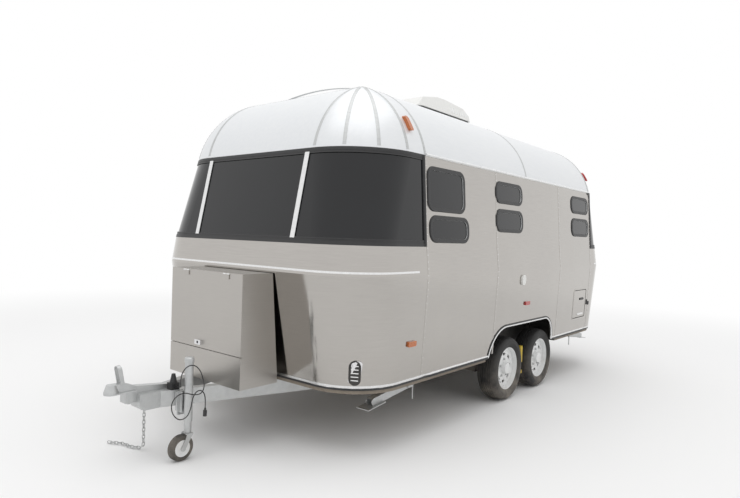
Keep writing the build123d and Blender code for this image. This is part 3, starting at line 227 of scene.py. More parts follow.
# every finish is one row of these values; lengths are in metres
finishes = {
    # the skin's light and dark tones are set darker and warmer than bare aluminium, standing in for the darker beige
    # surroundings it reflects: a painted reflection
    "polishedSkinPaintedReflection": {
        "light": (0.52, 0.50, 0.47), "dark": (0.42, 0.40, 0.38), "metallic": 1.0, "rough": (0.07, 0.16),
        "stretch": (2.0, 2.0, 90.0), "scale": 3.0, "grainBump": 0.015, "waves": 1.6, "waveBump": 0.05,
        "dust": 0.25, "dustHeight": 0.9,
    },
    "roofSkin": {
        "light": (0.80, 0.81, 0.82), "dark": (0.72, 0.74, 0.76), "metallic": 0.35, "rough": (0.30, 0.42),
        "stretch": (8.0, 1.5, 8.0), "scale": 5.0, "grainBump": 0.01, "waves": 1.2, "waveBump": 0.06,
        "dust": 0.0, "dustHeight": 0.5,
    },
    "boxSteel": {
        "light": (0.50, 0.48, 0.45), "dark": (0.42, 0.40, 0.38), "metallic": 1.0, "rough": (0.26, 0.40),
        "stretch": (1.5, 1.5, 120.0), "scale": 4.0, "grainBump": 0.03, "waves": 2.2, "waveBump": 0.08,
        "dust": 0.2, "dustHeight": 0.9,
    },
    "brightTrim": {
        "light": (0.86, 0.86, 0.86), "dark": (0.70, 0.70, 0.70), "metallic": 1.0, "rough": (0.18, 0.32),
        "stretch": (1.0, 1.0, 1.0), "scale": 40.0, "grainBump": 0.01, "waves": 5.0, "waveBump": 0.0,
        "dust": 0.2, "dustHeight": 0.6,
    },
    "chromePlate": {
        "light": (0.82, 0.82, 0.83), "dark": (0.66, 0.66, 0.67), "metallic": 1.0, "rough": (0.06, 0.16),
        "stretch": (1.0, 1.0, 1.0), "scale": 60.0, "grainBump": 0.01, "waves": 5.0, "waveBump": 0.0,
        "dust": 0.2, "dustHeight": 0.6,
    },
    "galvanisedSteel": {
        "light": (0.62, 0.63, 0.63), "dark": (0.45, 0.46, 0.46), "metallic": 0.7, "rough": (0.32, 0.50),
        "stretch": (1.0, 1.0, 1.0), "scale": 22.0, "grainBump": 0.06, "waves": 9.0, "waveBump": 0.03,
        "dust": 0.2, "dustHeight": 0.6,
    },
    "blackRubber": {
        "light": (0.030, 0.030, 0.031), "dark": (0.012, 0.012, 0.013), "metallic": 0.0, "rough": (0.34, 0.52),
        "stretch": (1.0, 1.0, 1.0), "scale": 60.0, "grainBump": 0.05, "waves": 8.0, "waveBump": 0.0,
        "dust": 0.15, "dustHeight": 0.6,
    },
    "tyreRubber": {
        "light": (0.032, 0.031, 0.030), "dark": (0.014, 0.014, 0.014), "metallic": 0.0, "rough": (0.55, 0.8),
        "stretch": (1.0, 1.0, 1.0), "scale": 90.0, "grainBump": 0.10, "waves": 6.0, "waveBump": 0.0,
        "dust": 0.5, "dustHeight": 0.5,
    },
    "blackPaint": {
        "light": (0.030, 0.030, 0.030), "dark": (0.015, 0.015, 0.015), "metallic": 0.0, "rough": (0.4, 0.62),
        "stretch": (1.0, 1.0, 1.0), "scale": 30.0, "grainBump": 0.05, "waves": 6.0, "waveBump": 0.0,
        "dust": 0.6, "dustHeight": 0.8,
    },
    "whiteEnamel": {
        "light": (0.84, 0.85, 0.85), "dark": (0.76, 0.77, 0.77), "metallic": 0.0, "rough": (0.22, 0.34),
        "stretch": (1.0, 1.0, 1.0), "scale": 14.0, "grainBump": 0.01, "waves": 5.0, "waveBump": 0.0,
        "dust": 0.35, "dustHeight": 0.6,
    },
    "whitePlastic": {
        "light": (0.82, 0.82, 0.80), "dark": (0.74, 0.74, 0.72), "metallic": 0.0, "rough": (0.36, 0.5),
        "stretch": (1.0, 1.0, 1.0), "scale": 30.0, "grainBump": 0.03, "waves": 4.0, "waveBump": 0.0,
        "dust": 0.1, "dustHeight": 3.2,
    },
    "yellowPaint": {
        "light": (0.72, 0.52, 0.05), "dark": (0.55, 0.38, 0.04), "metallic": 0.0, "rough": (0.35, 0.55),
        "stretch": (1.0, 1.0, 1.0), "scale": 25.0, "grainBump": 0.03, "waves": 6.0, "waveBump": 0.0,
        "dust": 0.5, "dustHeight": 0.5,
    },
    "amberLens": {
        "light": (0.60, 0.17, 0.03), "dark": (0.36, 0.08, 0.015), "metallic": 0.0, "rough": (0.08, 0.2),
        "stretch": (1.0, 1.0, 1.0), "scale": 80.0, "grainBump": 0.02, "waves": 6.0, "waveBump": 0.0,
        "dust": 0.1, "dustHeight": 0.9,
    },
    "redLens": {
        "light": (0.55, 0.035, 0.03), "dark": (0.30, 0.015, 0.015), "metallic": 0.0, "rough": (0.08, 0.2),
        "stretch": (1.0, 1.0, 1.0), "scale": 80.0, "grainBump": 0.02, "waves": 6.0, "waveBump": 0.0,
        "dust": 0.1, "dustHeight": 0.9,
    },
    "floorBoard": {
        "light": (0.30, 0.26, 0.21), "dark": (0.17, 0.14, 0.11), "metallic": 0.0, "rough": (0.6, 0.85),
        "stretch": (14.0, 1.0, 14.0), "scale": 4.0, "grainBump": 0.06, "waves": 3.0, "waveBump": 0.02,
        "dust": 0.5, "dustHeight": 0.9,
    },
    "tintedGlass": {
        "light": (0.007, 0.008, 0.010), "dark": (0.004, 0.004, 0.005), "metallic": 0.0, "rough": (0.01, 0.03),
        "stretch": (1.0, 1.0, 1.0), "scale": 3.0, "grainBump": 0.0, "waves": 1.2, "waveBump": 0.02,
        "dust": 0.0, "dustHeight": 0.5,
    },
}
dustColour = (0.42, 0.37, 0.31, 1.0)


def mixColour(tree, factor, one, other):
    mix = addNode(tree, "ShaderNodeMix", data_type="RGBA")
    tree.links.new(factor, mix.inputs[0])
    for index, colour in ((6, one), (7, other)):
        if isinstance(colour, tuple):
            mix.inputs[index].default_value = colour
        else:
            tree.links.new(colour, mix.inputs[index])
    return mix.outputs[2]


def makeFinish(name, f):
    material = bpy.data.materials.new(name)
    material.use_nodes = True
    tree = material.node_tree
    link = tree.links.new
    shader = tree.nodes["Principled BSDF"]
    place = addNode(tree, "ShaderNodeTexCoord").outputs["Object"]
    grain = addNode(tree, "ShaderNodeGroup", node_tree=grainGroup)
    grain.inputs["Stretch"].default_value = f["stretch"]
    grain.inputs["Scale"].default_value = f["scale"]
    bands = addNode(tree, "ShaderNodeGroup", node_tree=bandGroup)
    bands.inputs["Size"].default_value = f["waves"]
    for group in (grain, bands):
        link(place, group.inputs["Vector"])
    blend = addNode(tree, "ShaderNodeMix", {"Factor": 0.5})
    link(grain.outputs["Grain"], blend.inputs["A"])
    link(bands.outputs["Tone"], blend.inputs["B"])
    colour = mixColour(tree, blend.outputs["Result"], (*f["dark"], 1.0), (*f["light"], 1.0))
    rough = addNode(tree, "ShaderNodeMapRange", {"To Min": f["rough"][0], "To Max": f["rough"][1]})
    link(blend.outputs["Result"], rough.inputs["Value"])
    roughness = rough.outputs["Result"]
    shader.inputs["Metallic"].default_value = f["metallic"]
    if f["dust"] > 0:
        dust = addNode(tree, "ShaderNodeGroup", node_tree=dustGroup)
        link(place, dust.inputs["Vector"])
        dust.inputs["Amount"].default_value = f["dust"]
        dust.inputs["Height"].default_value = f["dustHeight"]
        colour = mixColour(tree, dust.outputs["Mask"], colour, dustColour)
        dull = addNode(tree, "ShaderNodeMix", {"B": 0.8})
        link(dust.outputs["Mask"], dull.inputs["Factor"])
        link(roughness, dull.inputs["A"])
        roughness = dull.outputs["Result"]
    link(colour, shader.inputs["Base Color"])
    link(roughness, shader.inputs["Roughness"])
    if f["grainBump"] + f["waveBump"] > 0:
        fine = addNode(tree, "ShaderNodeBump", {"Strength": f["grainBump"], "Distance": 0.002})
        link(grain.outputs["Grain"], fine.inputs["Height"])
        broad = addNode(tree, "ShaderNodeBump", {"Strength": f["waveBump"], "Distance": 0.05})
        link(bands.outputs["Height"], broad.inputs["Height"])
        link(fine.outputs["Normal"], broad.inputs["Normal"])
        link(broad.outputs["Normal"], shader.inputs["Normal"])
    return material


finish = {name: makeFinish(name, values) for name, values in finishes.items()}
for lens in ("amberLens", "redLens", "whiteEnamel"):
    finish[lens].node_tree.nodes["Principled BSDF"].inputs["Coat Weight"].default_value = 0.6
print("materials made:", len(finish))

slotFinish = {
    "polished_skin": "polishedSkinPaintedReflection", "roof_skin": "roofSkin", "window_frame": "blackRubber",
    "dark_glass": "tintedGlass", "floor_board": "floorBoard", "black_steel": "blackPaint",
    "galvanised": "galvanisedSteel", "box_steel": "boxSteel", "tyre_rubber": "tyreRubber",
    "wheel_white": "whiteEnamel", "cooler_white": "whitePlastic", "cooler_seal": "blackRubber",
    "amber_lamp": "amberLens", "red_lamp": "redLens", "inlet_white": "whitePlastic",
    "chrome": "chromePlate", "damper_yellow": "yellowPaint", "lead_black": "blackRubber",
}
finishSlot = {finishName: slotName for slotName, finishName in slotFinish.items()}
finishSlot.update({"brightTrim": "chrome", "blackRubber": "window_frame", "whitePlastic": "cooler_white"})


def dressNodes():
    for part in frame["record"]["subparts"]:
        node = nodes[part["node"]]
        node.data.materials.clear()
        node.data.materials.append(finish[slotFinish[part["material_slot"]]])


dressNodes()
leadPiece.data.materials.append(finish["blackRubber"])


# mesh helpers: a shape is a plain store of points and faces
def newShape():
    return {"verts": [], "faces": []}


def addGrid(shape, rows, closeRows=False, closeEnds=False):
    start = len(shape["verts"])
    width = len(rows[0])
    for row in rows:
        shape["verts"].extend(row)
    count = len(rows)
    for i in range(count if closeEnds else count - 1):
        for j in range(width if closeRows else width - 1):
            a, b = start + i * width, start + ((i + 1) % count) * width
            k = (j + 1) % width
            shape["faces"].append((a + j, a + k, b + k, b + j))
    return start


def addLid(shape, start, count, flip=False):
    ring = list(range(start, start + count))
    shape["faces"].append(tuple(reversed(ring)) if flip else tuple(ring))


def sweep(shape, path, profile, closed=False):
    # path rows hold a point, an outward and an upward direction
    rows = [[p + out * a + up * b for a, b in profile] for p, out, up in path]
    start = addGrid(shape, rows, closeRows=True, closeEnds=closed)
    if not closed:
        addLid(shape, start, len(profile))
        addLid(shape, start + (len(rows) - 1) * len(profile), len(profile), flip=True)


def tube(shape, points, radius, sides=12, closed=False, caps=True):
    points = [Vector(p) for p in points]
    count = len(points)
    rows = []
    side = None
    for i, point in enumerate(points):
        before = points[i - 1] if i or closed else point
        after = points[(i + 1) % count] if i < count - 1 or closed else point
        run = (after - before).normalized()
        if side is None:
            side = run.orthogonal().normalized()
        side = (side - run * side.dot(run)).normalized()
        other = run.cross(side)
        r = radius[i] if isinstance(radius, (list, tuple)) else radius
        angles = [2 * math.pi * j / sides for j in range(sides)]
        rows.append([point + (side * math.cos(a) + other * math.sin(a)) * r for a in angles])
    start = addGrid(shape, rows, closeRows=True, closeEnds=closed)
    if caps and not closed:
        addLid(shape, start, sides)
        addLid(shape, start + (count - 1) * sides, sides, flip=True)


def lathe(shape, centre, axis, profile, sides=32):
    # profile rows hold a radius and a distance along the axis
    centre, axis = Vector(centre), Vector(axis).normalized()
    side = axis.orthogonal().normalized()
    other = axis.cross(side)
    rows = []
    for radius, along in profile:
        angles = [2 * math.pi * j / sides for j in range(sides)]
        middle = centre + axis * along
        rows.append([middle + (side * math.cos(a) + other * math.sin(a)) * radius for a in angles])
    start = addGrid(shape, rows, closeRows=True)
    addLid(shape, start, sides)
    addLid(shape, start + (len(rows) - 1) * sides, sides, flip=True)


def addBlock(shape, centre, size, along=(1, 0, 0), up=(0, 0, 1)):
    centre, along = Vector(centre), Vector(along).normalized()
    up = Vector(up)
    up = (up - along * up.dot(along)).normalized()
    across = up.cross(along)
    start = len(shape["verts"])
    for i in (-0.5, 0.5):
        for j in (-0.5, 0.5):
            for k in (-0.5, 0.5):
                shape["verts"].append(centre + along * i * size[0] + across * j * size[1] + up * k * size[2])
    for face in ((0, 1, 3, 2), (4, 6, 7, 5), (0, 4, 5, 1), (2, 3, 7, 6), (0, 2, 6, 4), (1, 5, 7, 3)):
        shape["faces"].append(tuple(start + v for v in face))


def addRivet(shape, point, normal, radius=0.0042, sides=8):
    normal = normal.normalized()
    side = normal.orthogonal().normalized()
    other = normal.cross(side)
    start = len(shape["verts"])
    for reach, rise in ((1.0, -0.1), (0.86, 0.28), (0.5, 0.5)):
        for j in range(sides):
            a = 2 * math.pi * j / sides
            away = (side * math.cos(a) + other * math.sin(a)) * radius * reach
            shape["verts"].append(point + away + normal * radius * rise)
    shape["verts"].append(point + normal * radius * 0.58)
    for ring in (0, 1):
        for j in range(sides):
            k = (j + 1) % sides
            a, b = start + ring * sides, start + (ring + 1) * sides
            shape["faces"].append((a + j, a + k, b + k, b + j))
    for j in range(sides):
        shape["faces"].append((start + 2 * sides + j, start + 2 * sides + (j + 1) % sides, start + 3 * sides))


def rivetRow(shape, path, spacing, radius=0.0042, offset=(0, 0)):
    # rivets at even steps along a path of point, outward and upward rows
    gone, goal = 0.0, spacing / 2
    for (p, out, up), (q, nextOut, nextUp) in zip(path, path[1:]):
        length = (q - p).length
        while gone + length > goal:
            t = (goal - gone) / length
            normal = out.lerp(nextOut, t).normalized()
            place = p.lerp(q, t) + normal * offset[0] + up.lerp(nextUp, t) * offset[1]
            addRivet(shape, place, normal, radius)
            goal += spacing
        gone += length


def makePiece(name, shape, finishName, body="caravan", bevel=0.0, sharp=35.0, subdivide=0, replaced=()):
    mesh = bpy.data.meshes.new(name)
    mesh.from_pydata([tuple(v) for v in shape["verts"]], [], shape["faces"])
    built = bmesh.new()
    built.from_mesh(mesh)
    bmesh.ops.remove_doubles(built, verts=built.verts, dist=1e-6)
    bmesh.ops.recalc_face_normals(built, faces=built.faces)
    for face in built.faces:
        face.smooth = True
    for edge in built.edges:
        if len(edge.link_faces) == 2 and edge.calc_face_angle(0) > math.radians(sharp):
            edge.smooth = False
    built.to_mesh(mesh)
    built.free()
    piece = bpy.data.objects.new(name, mesh)
    bpy.context.scene.collection.objects.link(piece)
    mesh.materials.append(finish[finishName])
    if bevel > 0:
        edge = piece.modifiers.new("roundedEdges", "BEVEL")
        edge.width = bevel
        edge.segments = 2
        edge.limit_method = "ANGLE"
        edge.angle_limit = math.radians(40)
        edge.harden_normals = False
    if subdivide:
        smoother = piece.modifiers.new("smoother", "SUBSURF")
        smoother.levels = smoother.render_levels = subdivide
    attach(piece, body)
    if replaced:
        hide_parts(*replaced)
    return piece


# body shell, the same numbers as the CAD: height, half width, front, rear, corner radius
shell = {
    "levels": [
        (0.477, 1.136, -1.814, 2.810, 0.410),
        (1.230, 1.172, -1.925, 2.920, 0.420),
        (1.434, 1.150, -1.899, 2.895, 0.410),
        (2.100, 1.104, -1.764, 2.820, 0.490),
    ],
    "frontSplit": -1.120,
    "rearSplit": 2.370,
    "roofTop": 2.710,
    "crownRadius": 2.300,
}
seamZ, seamHalf, seamFront, seamRear, seamCorner = shell["levels"][-1]
cornerX = seamHalf - seamCorner
cornerFrontY = seamFront + seamCorner
cornerRearY = seamRear - seamCorner


def levelAt(z):
    rows = shell["levels"]
    for low, high in zip(rows, rows[1:]):
        if z <= high[0]:
            break
    t = (z - low[0]) / (high[0] - low[0])
    return [a + (b - a) * t for a, b in zip(low[1:], high[1:])]


def wallX(z):
    return levelAt(z)[0]


def wallSlope(z):
    # outward and upward directions of the side wall at a height, for the left side
    up = Vector((wallX(z + 0.01) - wallX(z - 0.01), 0, 0.02)).normalized()
    return Vector((up.z, 0, -up.x)), up


def sidePoint(side, y, z, lift=0.0):
    out, up = wallSlope(z)
    point = Vector((wallX(z), y, z)) + out * lift
    return Vector((side * point.x, point.y, point.z))


def sideRow(side, y, z):
    out, up = wallSlope(z)
    return sidePoint(side, y, z), Vector((side * out.x, 0, out.z)), Vector((side * up.x, 0, up.z))


def ringPoints(end, z, splitY, cornerSteps=28):
    # points round one end at a height, from the left split to the right one
    half, front, rear, corner = levelAt(z)
    face = front if end < 0 else rear
    middleX, middleY = half - corner, face - end * corner
    points = []
    steps = 8
    for i in range(steps):
        points.append(Vector((half, splitY + (middleY - splitY) * i / steps, z)))
    for i in range(cornerSteps + 1):
        a = end * math.pi / 2 * i / cornerSteps
        points.append(Vector((middleX + corner * math.cos(a), middleY + corner * math.sin(a), z)))
    for i in range(1, 12):
        points.append(Vector((middleX - 2 * middleX * i / 12, face, z)))
    return points + [Vector((-p.x, p.y, p.z)) for p in reversed(points[: steps + cornerSteps + 1])]


def endRing(end, z, splitY):
    # path round one end: point, outward and upward directions
    here, above = ringPoints(end, z, splitY), ringPoints(end, z + 0.01, splitY)
    below = ringPoints(end, z - 0.01, splitY)
    path = []
    for i, point in enumerate(here):
        ahead, behind = here[min(i + 1, len(here) - 1)], here[max(i - 1, 0)]
        up = (above[i] - below[i]).normalized()
        out = up.cross(ahead - behind) * end
        path.append((point, out.normalized(), up))
    return path


def shoulder(t):
    # reach from the corner's centre and rise over the seam, from the seam up to the crown
    crown = shell["roofTop"] - shell["crownRadius"] + math.sqrt(shell["crownRadius"] ** 2 - cornerX**2)
    rise = crown - seamZ
    slope = math.asin(cornerX / shell["crownRadius"])
    s, c = math.sin(slope), math.cos(slope)
    radius = (seamCorner**2 + rise**2) / (2 * (rise * c - seamCorner * s))
    cx, cz = -radius * s, rise - radius * c
    low = math.atan2(-cz, seamCorner - cx)
    high = math.atan2(c, s)
    a = low + (high - low) * t
    return cx + radius * math.cos(a), cz + radius * math.sin(a), a


def domePoint(end, side, turn, t):
    # point and outward direction on a corner of the dome; turn 0 faces the side, 90 the end
    reach, rise, tilt = shoulder(t)
    a = math.radians(turn)
    flat = Vector((side * math.cos(a), end * math.sin(a), 0))
    centre = Vector((side * cornerX, cornerFrontY if end < 0 else cornerRearY, seamZ))
    out = flat * math.cos(tilt) + Vector((0, 0, math.sin(tilt)))
    return centre + flat * reach + Vector((0, 0, rise)), out


def roofPoint(side, y, t):
    # point and outward direction on the roof's long shoulder
    reach, rise, tilt = shoulder(t)
    out = Vector((side * math.cos(tilt), 0, math.sin(tilt)))
    return Vector((side * (cornerX + reach), y, seamZ + rise)), out


def crownPoint(x, y):
    height = shell["roofTop"] - shell["crownRadius"] + math.sqrt(shell["crownRadius"] ** 2 - x * x)
    slope = math.asin(x / shell["crownRadius"])
    return Vector((x, y, height)), Vector((math.sin(slope), 0, math.cos(slope)))


def withUps(pairs):
    # turns rows of point and outward direction into path rows with a direction across
    path = []
    for i, (point, out) in enumerate(pairs):
        run = pairs[min(i + 1, len(pairs) - 1)][0] - pairs[max(i - 1, 0)][0]
        path.append((point, out, out.cross(run).normalized()))
    return path


print("shell ready")

# trims and seams of the body
trims = {
    "sill": {"z": 0.477, "height": 0.020, "depth": 0.009, "blackHeight": 0.016, "blackDepth": 0.012},
    "arch": {"front": -0.097, "rear": 1.313, "top": 0.725, "frontReach": 0.331, "rearReach": 0.213},
    "windowBead": {"height": 0.024, "depth": 0.013},
    "mullion": {"x": 0.560, "width": 0.044, "depth": 0.006, "low": 1.470, "high": 2.070},
    "waist": {"z": 1.255, "sideY": -1.228, "height": 0.014, "depth": 0.004},
    "rail": {"z": 2.106, "height": 0.022, "depth": 0.016},
    "seam": {"width": 0.026, "depth": 0.0016, "rivetStep": 0.034, "rivet": 0.0040},
}


def barProfile(height, depth, sink=0.002):
    # half-round bar section that stands out of the skin
    steps = 6
    arc = [math.pi * i / steps for i in range(steps + 1)]
    rim = [(depth * math.sin(a), height / 2 * math.cos(a)) for a in arc]
    return [(-sink, height / 2)] + rim + [(-sink, -height / 2)]


def flatProfile(width, depth, sink=0.002):
    w = width / 2
    half = [(-sink, w), (depth * 0.6, w), (depth, w - depth)]
    return half + [(a, -b) for a, b in reversed(half)]


def archPath(side, a):
    # outline of the wheel arch on the side wall, from the front foot to the rear one
    low = shell["levels"][0][0]
    rise = a["top"] - low

    def quarter(reach, start, direction):
        radius = (reach**2 + rise**2) / (2 * rise)
        end = math.asin(min(1.0, reach / radius))
        if rise > radius:
            end = math.pi - end
        turns = [end * i / 14 for i in range(15)]
        return [
            (start + direction * radius * math.sin(turn), a["top"] - radius * (1 - math.cos(turn))) for turn in turns
        ]

    front = quarter(a["frontReach"], a["front"] + a["frontReach"], -1)
    rear = quarter(a["rearReach"], a["rear"] - a["rearReach"], 1)
    flat = list(reversed(front)) + rear
    rows = [sideRow(side, y, z) for y, z in flat]
    path = []
    for i, (point, out, _) in enumerate(rows):
        run = rows[min(i + 1, len(rows) - 1)][0] - rows[max(i - 1, 0)][0]
        path.append((point, out, run.cross(out).normalized() * side))
    return path


def sidePath(side, z, fromY, toY, steps=12):
    rows = []
    for i in range(steps + 1):
        rows.append(sideRow(side, fromY + (toY - fromY) * i / steps, z))
    return rows


def sillPath(end, arch):
    # bottom edge round one end, from arch to arch
    z = trims["sill"]["z"]
    split = shell["frontSplit"] if end < 0 else shell["rearSplit"]
    foot = arch["front"] if end < 0 else arch["rear"]
    left = sidePath(1, z + 0.001, foot, split, 8)[:-1]
    right = sidePath(-1, z + 0.001, split, foot, 8)[1:]
    return left + endRing(end, z + 0.001, split) + right


silverShape, blackShape, whiteRail, rubberShape = newShape(), newShape(), newShape(), newShape()
sill = trims["sill"]
for end in (-1, 1):
    path = sillPath(end, trims["arch"])
    raised = [(p + up * (sill["height"] / 2 + 0.001), out, up) for p, out, up in path]
    sweep(silverShape, raised, barProfile(sill["height"], sill["depth"]))
    lowered = [(p + up * (sill["blackHeight"] / 2 - 0.012), out, up) for p, out, up in path]
    sweep(blackShape, lowered, flatProfile(sill["blackHeight"], sill["blackDepth"]))
for side in (-1, 1):
    path = archPath(side, trims["arch"])
    sweep(silverShape, [(p + up * 0.008, out, up) for p, out, up in path], barProfile(0.018, 0.010))
    sweep(blackShape, [(p - up * 0.004, out, up) for p, out, up in path], flatProfile(0.014, 0.008, 0.012))

bead = trims["windowBead"]
m = trims["mullion"]
for end, split in ((-1, shell["frontSplit"]), (1, shell["rearSplit"])):
    for z in (1.434 + bead["height"] / 2, 2.100 - bead["height"] / 2):
        sweep(rubberShape, endRing(end, z, split), barProfile(bead["height"], bead["depth"]))
    for z in (1.434 + 0.040, 2.100 - 0.036):
        sweep(rubberShape, endRing(end, z, split + end * 0.034), barProfile(0.010, 0.004))
    for side in (-1, 1):
        post = [sideRow(side, split + end * 0.016, 1.436 + 0.662 * i / 10) for i in range(11)]
        post = [(p, out, Vector((0, 1, 0))) for p, out, up in post]
        sweep(rubberShape, post, barProfile(0.028, 0.010))
        strip = []
        for i in range(13):
            z = m["low"] + (m["high"] - m["low"]) * i / 12
            half, front, rear, corner = levelAt(z)
            face = front if end < 0 else rear
            above = levelAt(z + 0.01)[1 if end < 0 else 2]
            up = Vector((0, above - face, 0.01)).normalized()
            place = Vector((side * m["x"], face, z))
            strip.append((place, Vector((0, end * up.z, -end * up.y)), Vector((1, 0, 0))))
        sweep(silverShape, strip, flatProfile(m["width"], m["depth"]))

waist = trims["waist"]
for end, split in ((-1, waist["sideY"]), (1, 2.478)):
    path = endRing(end, waist["z"], split)
    sweep(silverShape, path, flatProfile(waist["height"], waist["depth"]))

rail = trims["rail"]
for side in (-1, 1):
    row = []
    for i in range(25):
        y = shell["frontSplit"] + 0.01 + (shell["rearSplit"] - shell["frontSplit"] - 0.02) * i / 24
        point, out = roofPoint(side, y, 0.0)
        row.append((point + Vector((0, 0, 0.004)), Vector((side, 0, 0)), Vector((0, 0, 1))))
    sweep(whiteRail, row, barProfile(rail["height"], rail["depth"]))
makePiece("sillAndArchTrim", silverShape, "brightTrim")
makePiece("sillSealBlack", blackShape, "blackRubber")
makePiece("windowBandRubber", rubberShape, "blackRubber")
makePiece("roofRail", whiteRail, "whiteEnamel")

# riveted seams: petals of both domes, rings where the domes meet the roof, and side sheets
seam = trims["seam"]
seamShape, rivetShape = newShape(), newShape()


def addSeam(pairs, width=None, rows=2):
    path = withUps(pairs)
    width = width or seam["width"]
    sweep(seamShape, path, flatProfile(width, seam["depth"], 0.001))
    for k in range(rows):
        offset = (k - (rows - 1) / 2) * width * 0.52
        rivetRow(rivetShape, path, seam["rivetStep"], seam["rivet"], (seam["depth"], offset))


def domeSeams(end, split):
    for side in (-1, 1):
        for turn in (90, 62, 34, 6):
            addSeam([domePoint(end, side, turn, 0.02 + 0.95 * i / 24) for i in range(25)])
        y = split - end * 0.004
        ring = [roofPoint(side, y, 0.01 + 0.99 * i / 24) for i in range(25)]
        addSeam(ring)
    steps = 20
    row = [crownPoint(-cornerX + 2 * cornerX * i / steps, split - end * 0.004) for i in range(steps + 1)]
    addSeam(row)
    edgeY = cornerFrontY if end < 0 else cornerRearY
    top = shoulder(1.0)[1] + seamZ
    slope = math.asin(cornerX / shell["crownRadius"])
    out = Vector((0, end * math.sin(slope), math.cos(slope)))
    addSeam([(Vector((-cornerX + 2 * cornerX * i / steps, edgeY, top)), out) for i in range(steps + 1)])


for end, split in ((-1, shell["frontSplit"]), (1, shell["rearSplit"])):
    domeSeams(end, split)
for y in (0.62,):
    for side in (-1, 1):
        addSeam([roofPoint(side, y, 0.01 + 0.99 * i / 24) for i in range(25)])
    addSeam([crownPoint(-cornerX + 2 * cornerX * i / 20, y) for i in range(21)])
makePiece("roofSeamStrips", seamShape, "galvanisedSteel")
makePiece("roofRivets", rivetShape, "galvanisedSteel", sharp=80)

seamShape, rivetShape = newShape(), newShape()
for end, split in ((-1, waist["sideY"]), (1, 2.478)):
    rivetRow(rivetShape, endRing(end, waist["z"], split), 0.05, 0.0042, (waist["depth"], 0))
for side in (-1, 1):
    for y, low, high in ((-1.112, 0.50, 2.085), (-0.015, 0.50, 2.085), (1.42, 0.50, 2.085), (2.362, 0.50, 2.085)):
        if side < 0 and y < -0.3:
            continue
        rows = [sideRow(side, y, low + (high - low) * i / 30) for i in range(31)]
        path = [(p, out, Vector((0, 1, 0))) for p, out, up in rows]
        sweep(seamShape, path, flatProfile(0.024, 0.0012, 0.001))
        rivetRow(rivetShape, path, 0.05, 0.0036, (0.0012, 0.0))
makePiece("sideSeamStrips", seamShape, "polishedSkinPaintedReflection")
makePiece("sideRivets", rivetShape, "brightTrim", sharp=80)
print("trims and seams made")

# frames round the side windows, the entrance door and the service hatch
windows = {
    "rows": [  # sides, middle y, middle z, width, height, corner
        ((1,), -0.830, 1.862, 0.500, 0.296, 0.060), ((1,), -0.795, 1.566, 0.530, 0.166, 0.062),
        ((1, -1), 0.240, 1.922, 0.500, 0.158, 0.062), ((1, -1), 0.240, 1.673, 0.500, 0.168, 0.062),
        ((1, -1), 2.050, 1.927, 0.500, 0.158, 0.062), ((1, -1), 2.050, 1.673, 0.500, 0.168, 0.062),
    ],
    "grow": 0.013, "bead": (0.014, 0.009), "innerGrow": -0.010, "highlightBead": (0.004, 0.0065),
}
door = {
    "place": (-0.650, 1.285, 0.620, 1.560, 0.070), "outerGrow": 0.019, "innerGrow": -0.016,
    "strip": (0.018, 0.003), "hinge": (-1.180, -0.964), "hingeHeights": (0.70, 1.25, 1.80),
    "barrel": (0.008, 0.080), "windowPlace": (-0.650, 1.790, 0.360, 0.420, 0.060),
}
hatch = {
    "place": (2.086, 0.795, 0.372, 0.310, 0.018), "grow": 0.014, "strip": (0.014, 0.003),
    "latch": (2.140, 0.850, 0.120, 0.026),
    "catches": ((2.318, 0.800, 0.020, 0.062), (2.372, 0.786, 0.034, 0.044)),
    "pull": (2.120, 0.676, 0.180, 0.022),
}


def framePath(side, y, z, width, height, corner, grow=0.0, step=0.03):
    # path round a rounded rectangle on the side wall: point, outward and away directions
    r = corner + grow
    reachY, reachZ = width / 2 - corner, height / 2 - corner
    flat = []
    for quarter, (signY, signZ) in enumerate(((1, 1), (-1, 1), (-1, -1), (1, -1))):
        for i in range(7):
            a = math.radians(90 * quarter + 15 * i)
            away = (math.cos(a), math.sin(a))
            flat.append((y + signY * reachY + r * away[0], z + signZ * reachZ + r * away[1], away))
    path = []
    for (y0, z0, away), (y1, z1, nextAway) in zip(flat, flat[1:] + flat[:1]):
        pieces = max(1, int(math.hypot(y1 - y0, z1 - z0) / step))
        for i in range(pieces):
            t = i / pieces
            point, out, up = sideRow(side, y0 + (y1 - y0) * t, z0 + (z1 - z0) * t)
            ahead = [a + (b - a) * t for a, b in zip(away, nextAway)]
            path.append((point, out, (Vector((0, ahead[0], 0)) + up * ahead[1]).normalized()))
    return path


def addPad(shape, side, y, z, width, height, corner, rise):
    # raised plate with a rounded outline on the side wall
    rims = []
    for grow, lift in ((0.0, -0.002), (0.0, rise * 0.6), (-min(corner, rise) * 0.4, rise)):
        rims.append([p + out * lift for p, out, _ in framePath(side, y, z, width, height, corner, grow, 0.05)])
    start = addGrid(shape, rims, closeRows=True)
    addLid(shape, start + 2 * len(rims[0]), len(rims[0]), flip=side < 0)


frameRubber, highlightBeadShape = newShape(), newShape()
for sides, *place in windows["rows"]:
    for side in sides:
        sweep(frameRubber, framePath(side, *place, windows["grow"]), barProfile(*windows["bead"]), closed=True)
        # a grey metal bead inside each rubber frame stands in for the light line along the frames' inner edge: a
        # painted highlight
        inner = framePath(side, *place, windows["innerGrow"])
        sweep(highlightBeadShape, inner, barProfile(*windows["highlightBead"]), closed=True)
makePiece("sideWindowBeads", frameRubber, "blackRubber")
makePiece("sideWindowHighlightBeads", highlightBeadShape, "galvanisedSteel")

